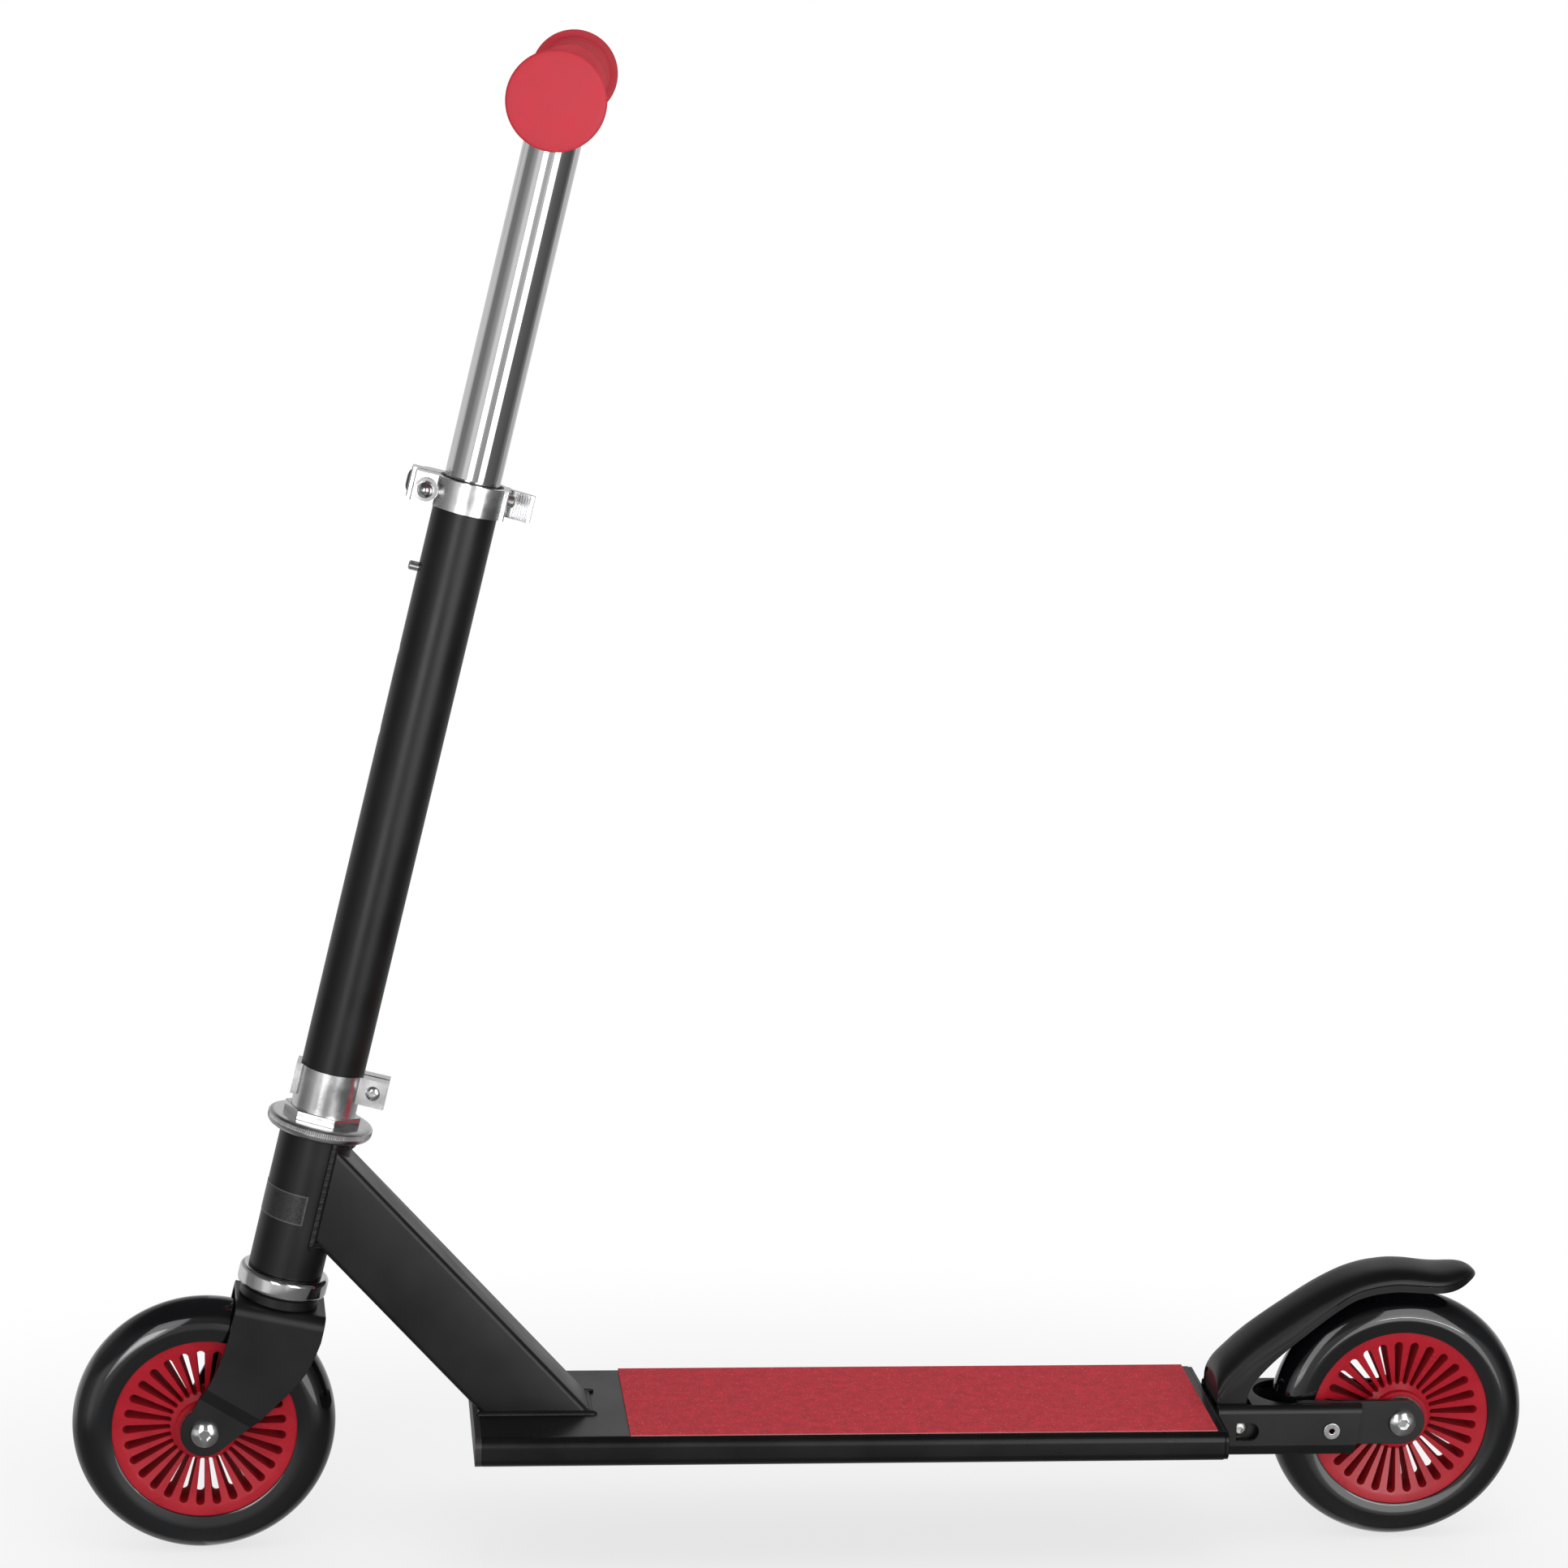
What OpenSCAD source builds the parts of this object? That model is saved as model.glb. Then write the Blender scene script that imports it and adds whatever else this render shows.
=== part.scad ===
// Two-wheeled kick scooter: rigid welded frame, pressed fork, telescopic handlebar
// with a quick-release collar, slotted plastic wheel cores and a press-down rear brake.
// Frame: +X towards the rear wheel, +Y to the rider's right, +Z up; floor at z = 0.

/* [Wheels] */
// Radius of both wheels
wheel_r = 60; // [56:1:62]
// Width of the tyre
tyre_w = 24; // [22:1:24]
// Radius of the plastic core where it meets the tyre
core_r = 42; // [38:1:44]
// Number of radial slots in a core
slot_count = 29; // [24:1:36]
// Distance between the two axles
wheelbase = 557; // [540:1:580]

/* [Deck] */
// Front end of the deck tube, measured back from the front axle
deck_start = 125.5; // [120:0.5:135]
// Rear end of the deck tube, measured forward from the rear axle
deck_stop = 90.5; // [88:0.5:95]
// Half of the deck's width
deck_half = 49; // [45:1:55]
// Height of the deck's top above the floor
deck_top = 67; // [64:1:68]
// Thickness of the deck tube
deck_t = 14; // [12:1:18]

/* [Frame] */
// Width of the rectangular down tube
down_w = 30; // [26:1:32]
// Depth of the down tube, square to its length
down_h = 37; // [32:1:38]
// Slope of the down tube below the horizontal
down_slope = 47; // [45:0.5:50]
// Outer radius of the head tube
head_r = 17; // [16.5:0.5:18]
// Half of the rear bracket's width
bracket_half = 22; // [22:0.5:24]

/* [Steering] */
// Backward lean of the steering axis
steer_tilt = 12.5; // [10:0.5:14]
// Turn of the fork in the modelled pose, to the right when negative
steer_rest = 2; // [-10:0.5:10]
// Turn of the column and handlebar against the fork, set in the lower clamp
bar_turn = -6.5; // [-10:0.5:10]
// Forward offset of the front axle from the steering axis
fork_offset = 20; // [16:1:22]
// Sheet thickness of the fork and the brackets
sheet = 3; // [2.5:0.1:3]

/* [Handlebar] */
// Outer radius of the black column
column_r = 14.5; // [14.5:0.1:15]
// Outer radius of the chromed inner tube
stem_r = 12.6; // [12:0.1:12.6]
// Height of the crossbar along the steering axis, from axle level
bar_s = 625; // [600:5:640]
// Half of the handlebar's width
bar_half = 165; // [150:5:180]
// Largest radius of a grip, at its end flange
grip_flange_r = 20.5; // [19:0.5:23]
// Spacing of the height holes in the column
hole_pitch = 38; // [30:1:40]

/* [Hidden] */
$fn = 64;
e = 0.01;                                   // overlap that keeps cuts clean

front_x = -wheelbase / 2;                   // front axle, before the steering is turned
rear_x = wheelbase / 2;
axle_s = -fork_offset * tan(steer_tilt);    // front axle along the steering axis
axis_x = front_x + fork_offset * cos(steer_tilt) - axle_s * sin(steer_tilt);
deck_x0 = front_x + deck_start;
deck_x1 = rear_x - deck_stop;
deck_bottom = deck_top - deck_t;

bore_r = 4;                                 // axle holes and bearing bores
race_w = 7;                                 // width of a wheel bearing
race_out = tyre_w / 2;                      // outer face of a bearing
tip_in = 14;                                // inner face of the dropouts and fork tips
spacer_r = 6;

blade_in = 16.5;                            // inner face of a fork blade above its joggle
crown_s = 60;                               // top of the fork crown along the axis
cup_s = [65.5, 74.5];                       // lower cup, along the axis
head_s = [74.5, 141.2];                     // head tube
flange_s = [141.6, 148];
locknut_s = [148, 152.2];
clamp_s = [152.2, 172];
steerer_r = 11;
column_s = [172, 446.5];
collar_s = [433.5, 447];
button_s = 404;
skewer_s = 439.7;
skewer_u = -19;
pivot_v = 17.5;                             // lever pin, sideways from the column's axis
stem_bottom_s = 300;
pivot_x = rear_x - 77.8;                    // brake pivot
pivot_z = 57.8;
rivet_x = rear_x - 34.8;
bracket_z = [46, 70];
fender_half = 17;
fender_wall = 3;
hub_y = [race_out, tip_in];

// Places its children in the frame of the steering axis: u backwards, v to the right, s up the axis
module on_axis() { translate([axis_x, 0, wheel_r]) rotate([0, steer_tilt, 0]) children(); }
module steered() { on_axis() rotate([0, 0, steer_rest]) children(); }
module clamped() { steered() rotate([0, 0, bar_turn]) children(); }
module at_rear_axle() { translate([rear_x, 0, wheel_r]) children(); }
module at_front_axle() { steered() translate([-fork_offset, 0, axle_s]) children(); }
// A cylinder and a ring from a to b along Z, and the same along Y
module rod(r, a, b) { translate([0, 0, a]) cylinder(r = r, h = b - a); }
module ring(r_in, r_out, a, b) { difference() { rod(r_out, a, b); rod(r_in, a - 1, b + 1); } }
module rod_y(r, a, b) { rotate([-90, 0, 0]) rod(r, a, b); }
module ring_y(r_in, r_out, a, b) { rotate([-90, 0, 0]) ring(r_in, r_out, a, b); }
// A rectangle with round corners, from (x0, y0) to (x1, y1)
module rounded(x0, y0, x1, y1, r) {
    translate([x0 + r, y0]) square([x1 - x0 - 2 * r, y1 - y0]);
    translate([x0, y0 + r]) square([x1 - x0, y1 - y0 - 2 * r]);
    for (x = [x0 + r, x1 - r], y = [y0 + r, y1 - r]) translate([x, y]) circle(r, $fn = 32);
}
// Extrudes a side view drawn in X and Z, from y = a to y = b
module side_plate(a, b) { translate([0, b, 0]) rotate([90, 0, 0]) linear_extrude(b - a) children(); }
// Extrudes a cross-section drawn in Y and Z, from x = a to x = b
module run_x(a, b) { translate([a, 0, 0]) rotate([90, 0, 90]) linear_extrude(b - a) children(); }
module both_sides() { children(); mirror([0, 1, 0]) children(); }
// A hexagon socket screw's domed head: radius r, height h, standing on z = 0
module button_head(r, h) {
    difference() {
        rotate_extrude() intersection() {
            translate([0, h - 1.6 * r]) circle(1.6 * r, $fn = 96);
            square([r, h]);
        }
        translate([0, 0, h / 2]) cylinder(r = 0.42 * r, h = h, $fn = 6);
    }
}

// ---- frame ----

module head_tube() {
    color("#17171a") on_axis() ring(15, head_r, head_s[0], head_s[1]);
}

module down_box(grow = 0, wall = 0) {
    section = [down_h / 2 + grow, down_w / 2 + grow];
    translate([front_x + 128.5, 0, 92]) rotate([0, down_slope, 0]) rotate([90, 0, 90])
        translate([0, 0, -180]) linear_extrude(330) difference() {
            rounded(-section[1], -section[0], section[1], section[0], 2.5 + grow);
            if (wall > 0) rounded(wall - section[1], wall - section[0], section[1] - wall,
                section[0] - wall, 1);
        }
}

// Room that the down tube leaves for the head tube, and for all that lies ahead of it or under the
// deck's top
module down_trim() {
    on_axis() { rod(head_r, 0, 300); translate([-200, -50, 0]) cube([200, 100, 300]); }
    translate([front_x, -50, deck_top - 100]) cube([300, 100, 100]);
}

module down_tube() {
    color("#1b1b1e") difference() { down_box(wall = 2.5); down_trim(); }
}

// Fillet welds around both ends of the down tube
module frame_welds() {
    color("#232326") difference() {
        intersection() {
            down_box(grow = 1.8);
            union() {
                translate([front_x + 60, -40, deck_top]) cube([150, 80, 1.8]);
                on_axis() ring(head_r, head_r + 1.8, head_s[0] + 8, head_s[1] - 0.6);
            }
        }
        down_box();
        down_trim();
    }
}

module deck_outline(inset = 0) {
    rounded(-deck_half + inset, deck_bottom + inset, deck_half - inset, deck_top - inset, 4.5 - inset);
}

// Drawn aluminium tube with two inner ribs
module deck() {
    color("#1c1c1f") run_x(deck_x0, deck_x1) difference() {
        deck_outline();
        difference() {
            deck_outline(2);
            for (y = [-17, 17]) translate([y - 1, deck_bottom]) square([2, deck_t]);
        }
    }
}

module deck_front_cap() {
    color("#3a3a3d") {
        run_x(deck_x0 - 3, deck_x0) deck_outline();
        for (y = [-43, -15, 19]) translate([deck_x0 - e, y, deck_bottom + 2.4])
            cube([8, 24, deck_t - 4.8]);
    }
}

module deck_rear_plate() {
    color("#1c1c1f") run_x(deck_x1, deck_x1 + 2) deck_outline(0.3);
}

module grip_tape() {
    color("#a52233") translate([front_x + 192.9, -45.8, deck_top]) cube([270.4, 91.6, 0.8]);
}

// Pressed channel between the deck and the rear wheel: two webs and a top plate
module rear_bracket() {
    x0 = deck_x1 + 2;
    web = 2.5;
    color("#1d1d20") difference() {
        union() {
            run_x(x0, rear_x - 19.5) rounded(-bracket_half, 51, bracket_half, bracket_z[1], 3.5);
            run_x(x0, rear_x - 19.5) lower_facets(bracket_half, 0);
        }
        run_x(x0 - 1, rear_x) rounded(web - bracket_half, 53, bracket_half - web,
            bracket_z[1] - web, 1.5);
        run_x(x0 - 1, rear_x) lower_facets(bracket_half - web, 1);
        // slanted rear edge of the webs
        side_plate(-40, 40) polygon([[rear_x - 24.2, 40], [rear_x - 19.6, 75], [rear_x, 75],
            [rear_x, 40]]);
        // opening for the fender, and the round-ended cut-out for the wheel
        translate([x0 - 1, -18.5, 60]) cube([17, 37, 20]);
        translate([0, 0, 60]) linear_extrude(20) {
            translate([rear_x - 51, 0]) circle(17);
            translate([rear_x - 51, -17]) square([60, 34]);
        }
        // round-ended windows over the pivot bolt's ends
        side_plate(-40, 40) {
            translate([pivot_x - 2, pivot_z - 4.4]) square([6.2, 8.8]);
            translate([pivot_x + 4.2, pivot_z]) circle(4.4);
        }
        both_sides() rod_at(rivet_x, 3, 15, 30);
    }
}
module lower_facets(half, below) {
    low = [half - 2.4 - 0.48 * below, bracket_z[0] - below];
    polygon([[-half, 56], [half, 56], [half, 51], low, [-low[0], low[1]], [-half, 51]]);
}
module rod_at(x, r, a, b) { translate([x, 0, pivot_z + 0.4]) rod_y(r, a, b); }

// Flat inner plate that carries the rear axle
module dropout() {
    color("#202023") difference() {
        side_plate(tip_in, tip_in + 2.5) {
            translate([rear_x, wheel_r]) circle(10.6);
            polygon([[deck_x1 + 3, 49.4], [rear_x, 49.4], [rear_x, 70.6], [rear_x - 50, 70.6],
                [rear_x - 54, 66.7], [deck_x1 + 3, 66.7]]);
        }
        at_rear_axle() rod_y(bore_r, 0, 30);
        translate([pivot_x, 0, pivot_z]) rod_y(2.55, 0, 30);
        rod_at(rivet_x, 3, 0, 30);
    }
}
module rear_dropout_right() { dropout(); }
module rear_dropout_left() { mirror([0, 1, 0]) dropout(); }

module bracket_spacers() {
    color("silver") both_sides() translate([rivet_x, 0, pivot_z + 0.4]) ring_y(3, 6, tip_in + 2.5,
        bracket_half - 2.5);
}

// Tubular rivets through web, spacer and dropout
module bracket_rivets() {
    color("gainsboro") both_sides() translate([rivet_x, 0, pivot_z + 0.4]) {
        ring_y(1.2, 2.98, tip_in - 0.8, bracket_half + 0.2);
        ring_y(1.2, 4, bracket_half, bracket_half + 1.2);
        ring_y(1.2, 4, tip_in - 0.8, tip_in);
    }
}

module fender_pivot_bolt() {
    color("silver") translate([pivot_x, 0, pivot_z]) {
        rod_y(2.5, -tip_in - 2.5, tip_in + 5.4);
        translate([0, -tip_in - 2.5, 0]) rotate([90, 0, 0]) button_head(3.9, 2.6);
        translate([0, tip_in + 2.5, 0]) rotate([-90, 0, 0]) difference() {
            cylinder(r = 4.3, h = 2.6, $fn = 6);
            rod(2.5, -1, 4);
        }
    }
}

// Axle bolt from the left side, with washers inside the dropouts
module axle_bolt(plate) {
    color("silver") {
        rod_y(bore_r - 0.04, -tip_in - plate, tip_in + plate + 6.5);
        translate([0, -tip_in - plate, 0]) rotate([90, 0, 0]) button_head(6.3, 3.7);
    }
}
module axle_nut(plate) {
    color("silver") difference() {
        union() {
            translate([0, tip_in + plate, 0]) rotate([-90, 0, 0]) cylinder(r = 7.4, h = 5.2, $fn = 6);
            rod_y(5.4, tip_in + plate + 5.2, tip_in + plate + 6.6);
        }
        rod_y(bore_r - 0.04, 0, 40);
    }
}
// Inner races, the sleeve between them and the outer washers, all clamped on the axle
module inner_races() {
    color("lightgrey") {
        ring_y(bore_r, spacer_r, -race_out, race_out);
        both_sides() ring_y(bore_r, spacer_r + 1, hub_y[0] + 0.2, hub_y[1]);
        both_sides() ring_y(bore_r, spacer_r - 0.5, race_out - e, hub_y[0] + 0.2 + e);
    }
}
module rear_axle_bolt() { at_rear_axle() axle_bolt(2.5); }
module rear_axle_nut() { at_rear_axle() axle_nut(2.5); }
module rear_inner_races() { at_rear_axle() inner_races(); }

// Chromed cup under the head tube, pressed into it
module lower_headset_cup() {
    color("gainsboro") on_axis() translate([0, 0, cup_s[0]]) difference() {
        union() {
            rotate_extrude() {
                square([18, cup_s[1] - cup_s[0]]);
                rounded(10, 0, 20.5, cup_s[1] - cup_s[0], 2);
            }
            rod(15, 5, 12);
        }
        rod(12.2, -1, 20);
        rod(17.6, -1, 6);
    }
}
module upper_headset_cup() {
    color("gainsboro") on_axis() {
        ring(12, 15, 129, 131.5);
        ring(14.3, 15, 131.5 - e, 140.9);
    }
}
// Thin plain foil wrapped round the front of the head tube
module head_tube_sticker() {
    color("#3a3a3e") on_axis() intersection() {
        ring(head_r, head_r + 0.15, 100.7, 114.7);
        linear_extrude(200) polygon([[0, 0], [4.2, 40], [-60, 40], [-60, -40], [4.2, -40]]);
    }
}

// ---- fork and headset ----

// Side view of the fork blades in u and s
module blade_outline() {
    translate([-fork_offset, axle_s]) circle(11);
    polygon([[-30.9, -5.6], [-28.4, 3], [-25.6, 12.2], [-23, 20], [-20.6, 31], [-19.5, 43],
        [-19.5, crown_s + 1],
        [21.8, crown_s + 1], [21.8, 49], [20.9, 43], [18.4, 33], [14.2, 24.5], [1.4, 4.6],
            [-10.9, -10.6], [-20, -14]]);
}
// Cross-section of the crown and both blades, in v and s
module crown_section() {
    out = blade_in + sheet;
    difference() {
        rounded(-out, -30, out, crown_s, 6);
        rounded(-blade_in, -40, blade_in, crown_s - sheet, 3.4);
    }
}
// Cross-section of one blade across its joggle: w runs square to the crease, v outwards
module joggle_section() {
    step = blade_in - tip_in;
    polygon([[40, blade_in], [3, blade_in], [-3, tip_in], [-40, tip_in],
        [-40, tip_in + sheet], [-3.6, tip_in + sheet], [2.4, tip_in + sheet + step],
            [40, tip_in + sheet + step]]);
}
module fork() {
    crease = -19.5;                         // slope of the crease across the blade
    color("#1a1a1d") steered() difference() {
        union() {
            // crown and the upper half of the blades
            intersection() {
                translate([-40, 0, 0]) rotate([90, 0, 90]) linear_extrude(80) crown_section();
                side_plate(-30, 30) intersection() { blade_outline(); translate([-40, 30])
                    square([80, 40]); }
            }
            // lower half with the inward joggle
            both_sides() intersection() {
                side_plate(0, 30) intersection() { blade_outline(); translate([-40, -20])
                    square([80, 50 + e]); }
                translate([-11.5, 0, 10.2]) rotate([0, -crease, 0]) rotate([0, 0, 90])
                    rotate([90, 0, 0])
                    translate([0, 0, -60]) linear_extrude(120) rotate(90) mirror([0, 1])
                        joggle_section();
            }
        }
        rod(steerer_r, 40, 80);
        translate([-fork_offset, 0, axle_s]) rod_y(bore_r, -30, 30);
    }
}

module crown_race() {
    color("#1f1f22") steered() difference() {
        union() { rod(18.2, crown_s, 65); rod(12.9, 65 - e, 68); }
        rod(steerer_r, 50, 80);
    }
}
module ball_ring(count, ring_r, ball_r, s) {
    for (i = [0 : count - 1]) rotate([0, 0, i * 360 / count]) translate([ring_r, 0, s])
        sphere(ball_r, $fn = 24);
}
module lower_bearing_balls() { color("white") steered() ball_ring(20, 15.3, 2.1, 67.3); }
module upper_bearing_balls() { color("white") steered() ball_ring(22, 12.65, 1.5, 133.3); }

module steerer_tube() {
    color("silver") steered() ring(9, steerer_r, crown_s - sheet, 168);
}

// Threaded top race with a wide disc that shades the head tube
module headset_flange() {
    h = flange_s[1] - flange_s[0];
    color("gainsboro") steered() difference() {
        translate([0, 0, flange_s[0]]) rotate_extrude() {
            polygon([[0, 0], [18.6, 0], [23.2, 2.8], [24.3, 3.4], [24.3, h - 0.9], [23.5, h - 0.2],
                [20, h], [0, h]]);
        }
        rod(steerer_r, 100, 200);
    }
    color("gainsboro") steered() ring(steerer_r, 13.6, 135.4, flange_s[0]);
}
module locknut() {
    color("silver") steered() difference() {
        rotate([0, 0, 46]) translate([0, 0, locknut_s[0]]) cylinder(r = 17.8,
            h = locknut_s[1] - locknut_s[0], $fn = 6);
        rod(steerer_r, 100, 200);
    }
}

// Split aluminium clamp that joins the column to the steerer
module lower_clamp() {
    color("lightgrey") clamped() difference() {
        union() {
            rod(column_r + 0.4, clamp_s[0], clamp_s[1]);
            rod(13.25, clamp_s[1] - 1, 190);
            translate([12, -7, 159.5]) cube([14.5, 14, clamp_s[1] - 159.5]);
            translate([-16.3, -6.5, 157.5]) cube([4, 13, clamp_s[1] - 157.5]);
        }
        rod(steerer_r, 100, 200);
        translate([10, -1, 140]) cube([30, 2, 36]);
        translate([20.2, 0, 166]) rod_y(2.6, -20, 20);
    }
}
module lower_clamp_bolt() {
    color("silver") clamped() translate([20.2, 0, 166]) {
        rod_y(2.5, -7, 11);
        translate([0, -7, 0]) rotate([90, 0, 0]) button_head(3.3, 1.6);
        difference() {
            translate([0, 7, 0]) rotate([-90, 0, 0]) cylinder(r = 4.4, h = 3.4, $fn = 6);
            rod_y(2.5, 0, 30);
        }
    }
}

// Black column with three height holes at the front and a slit under the collar
module column_tube() {
    color("#161618") clamped() difference() {
        ring(13.3, column_r, column_s[0], column_s[1]);
        for (i = [0 : 2]) translate([0, 0, button_s - i * hole_pitch]) rotate([0, -90, 0])
            rod(2.5, 5, 20);
        translate([-20, -1, 426]) cube([12, 2, 40]);
        translate([20.2, 0, 442]) rotate([0, -90, 0]) rod(1.5, 0, 9);
    }
}
module column_bush() {
    color("#e8e8e8") clamped() difference() {
        ring(stem_r + 0.05, 13.25, 412, 446);
        translate([-20, -1, 400]) cube([12, 2, 60]);
    }
}

// Split ring with two ears at the front and a flat boss at the rear
module upper_collar() {
    h = collar_s[1] - collar_s[0];
    color("gainsboro") clamped() difference() {
        union() {
            rod(column_r + 2.6, collar_s[0], collar_s[1]);
            translate([0, 0, collar_s[0]]) linear_extrude(h) {
                rounded(-25, -9, -12, -0.9, 0.8);
                rounded(-27.2, 0.9, -12, 9, 0.8);
                rounded(12, -8, 17.4, 8, 0.8);
            }
        }
        rod(column_r, 400, 500);
        translate([-40, -0.9, 400]) cube([28, 1.8, 100]);
        translate([skewer_u, 0, skewer_s]) {
            rod_y(2.6, -30, 30);
            rod_y(5.6, -30, -9);
        }
        translate([0, 0, 442]) rotate([0, 90, 0]) rod(1.6, 10, 30);
    }
}
module collar_screw() {
    color("silver") clamped() translate([0, 0, 442]) rotate([0, 90, 0]) {
        rod(1.5, 13.4, 17.5);
        translate([0, 0, 17.4]) button_head(2.7, 3.4);
    }
}

// Quick-release rod; its eye holds the lever's pin
module skewer() {
    color("silver") clamped() translate([skewer_u, 0, skewer_s]) difference() {
        union() {
            rod_y(2.5, -13, pivot_v - 2);
            translate([0, pivot_v, 0]) rod(3.4, -2.4, 2.4);
        }
        translate([0, pivot_v, 0]) rod(1.6, -5, 5);
    }
}
module domed_nut() {
    color("gainsboro") clamped() translate([skewer_u, -9, skewer_s]) rotate([90, 0, 0]) difference() {
        union() {
            rod(5.3, 0, 1);
            rod(3.7, 1 - e, 3);
            intersection() { translate([0, 0, 2.4]) sphere(3.4); rod(5, 1.5, 8); }
        }
        rod(2.5, -1, 4);
    }
}
// Plastic saddle that the lever's cam turns on
module cam_seat() {
    color("#141416") clamped() difference() {
        translate([0, 9, skewer_s - 0.2]) rotate([-90, 0, 0]) linear_extrude(3.5) rounded(-28.6,
            -6.3, -14.9, 6.3, 4.5);
        translate([skewer_u, 0, skewer_s]) rod_y(2.6, 0, 30);
    }
}
module lever_pin() {
    color("silver") clamped() translate([skewer_u, pivot_v, skewer_s]) rod(1.6, -6.4, 6);
}
// Cam lever: closed, it wraps the far side of the collar; its tail stands out at the rear
module clamp_lever() {
    h = 12.4;
    color("gainsboro") clamped() translate([0, 0, skewer_s - 6.4]) difference() {
        union() {
            // eccentric cam
            translate([skewer_u, pivot_v - 1, 0]) rod(3.95, 0, h);
            translate([skewer_u, pivot_v + 0.4, 0]) rod(4.2, 0, h);
            // arm from the cam to the back of the ring
            linear_extrude(h) polygon([[skewer_u, pivot_v + 4.6], [skewer_u + 2, pivot_v - 2.2],
                [-10, 16.4], [-4, 18.3],
                [1, 18.8], [1, 22.3], [-6, 22.6]]);
            intersection() {
                ring(18.8, 22.4, 0, h);
                linear_extrude(h) polygon([[-1, 0], [-1, 30], [30, 30], [30, 25], [0, 0]]);
            }
            // tail
            linear_extrude(h) polygon([[13, 13.2], [15.8, 15.4], [27.6, 11.4], [28.9, 10.4],
                [28.6, 8.2], [27.4, 7.8],
                [17, 11]]);
        }
        translate([skewer_u, pivot_v, 0]) rod(1.65, -1, h + 1);
        // fork for the skewer's eye
        translate([skewer_u - 6, pivot_v - 8, 3.7]) cube([10.6, 20, 5.4]);
        // thumb grooves on the inner side of the tail
        for (i = [0 : 5]) translate([20.4 + 1.15 * i, 9.9 - 0.36 * i, -1]) rotate([0, 0, -17])
            translate([0, -0.6, 0]) cube([0.5, 1.2, h + 2]);
    }
}

module front_axle_bolt() { at_front_axle() axle_bolt(sheet); }
module front_axle_nut() { at_front_axle() axle_nut(sheet); }
module front_inner_races() { at_front_axle() inner_races(); }

// ---- handlebar ----

module stem_tube() {
    color("gainsboro") clamped() difference() {
        ring(11.4, stem_r, stem_bottom_s, bar_s);
        translate([0, 0, bar_s]) rod_y(11.05, -30, 30);
        translate([0, 0, button_s]) rotate([0, -90, 0]) rod(2.2, 5, 20);
    }
}
module crossbar() {
    color("gainsboro") clamped() translate([0, 0, bar_s]) ring_y(9.6, 11, 4 - bar_half, bar_half - 4);
}
// Half section of a grip: radius, and distance from the middle of the handlebar
module grip_profile() {
    f = bar_half - 5;
    translate([0, 45]) square([15.2, f - 44]);
    translate([0, 45]) rounded(5, 0, 16.8, 3.4, 1.2);
    for (i = [0 : 6]) translate([0, 54 + 13 * i]) rounded(5, 0, 16.2, 6.4, 0.8);
    translate([0, f - 11]) rounded(5, 0, 17, 8, 1.2);
    translate([0, f]) rounded(5, 0, grip_flange_r, 4, 1.9);
    intersection() {
        translate([0, f + 5 - 140]) circle(140, $fn = 360);
        translate([0, f + 1]) square([16, 6]);
    }
}
// Soft grip: ribbed sleeve with a wide closed end
module grip() {
    color("#c8243c") rotate([-90, 0, 0]) difference() {
        rotate_extrude() {
            grip_profile();
        }
        rod(11.02, -1, bar_half - 4);
    }
}
module right_grip() { clamped() translate([0, 0, bar_s]) grip(); }
module left_grip() { clamped() translate([0, 0, bar_s]) mirror([0, 1, 0]) grip(); }

// Snap button and its leaf spring
module snap_button() {
    color("silver") clamped() translate([0, 0, button_s]) rotate([0, -90, 0]) {
        rod(2.1, 9, 18.3);
        translate([0, 0, 18.3 - e]) cylinder(r1 = 2.1, r2 = 1.5, h = 0.6);
        rod(3.4, 9, 10);
    }
}
module button_spring() {
    color("grey") clamped() side_plate(-3, 3)
        polygon([[-8.9, button_s + 4], [-8.9, button_s - 6], [2, button_s - 40], [6, button_s - 42],
            [10.6, button_s - 38],
            [10.6, button_s + 10], [10, button_s + 10], [10, button_s - 37.6],
                [5.8, button_s - 41.2], [2.5, button_s - 39.6],
            [-8.3, button_s - 6], [-8.3, button_s + 4]]);
}

// ---- wheels ----

module tyre() {
    color("#121215") rotate([90, 0, 0]) rotate_extrude($fn = 180) difference() {
        union() {
            translate([wheel_r - tyre_w / 2, 0]) circle(tyre_w / 2, $fn = 96);
            polygon([[core_r - 4, -10.4], [core_r, -10.8], [wheel_r - tyre_w / 2, -tyre_w / 2],
                [wheel_r - tyre_w / 2, tyre_w / 2], [core_r, 10.8], [core_r - 4, 10.4]]);
        }
        translate([0, -20]) square([core_r, 40]);
    }
}
// Slotted plastic wheel core: rim, dished spokes and hub
module core() {
    color("#b0202f") rotate([90, 0, 0]) difference() {
        rotate_extrude($fn = 120) difference() {
            polygon([[0, -11.5], [13.2, -11.5], [13.2, -8], [16.5, -6.2], [core_r - 4.4, -10],
                [core_r - 3.6, -11], [core_r, -11],
                [core_r, 11], [core_r - 3.6, 11], [core_r - 4.4, 10], [16.5, 6.2], [13.2, 8],
                    [13.2, 11.5], [0, 11.5]]);
            translate([0, -20]) square([7, 40]);
            for (y = [-20, race_out - race_w]) translate([0, y]) square([11, 15]);
        }
        for (i = [0 : slot_count - 1]) rotate([0, 0, i * 360 / slot_count]) translate([0, 0, -20])
            linear_extrude(40) {
            polygon([[15.8, -0.8], [core_r - 4.8, -1.85], [core_r - 4.8, 1.85], [15.8, 0.8]]);
            translate([core_r - 4.8, 0]) circle(1.85, $fn = 24);
        }
    }
}
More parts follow.
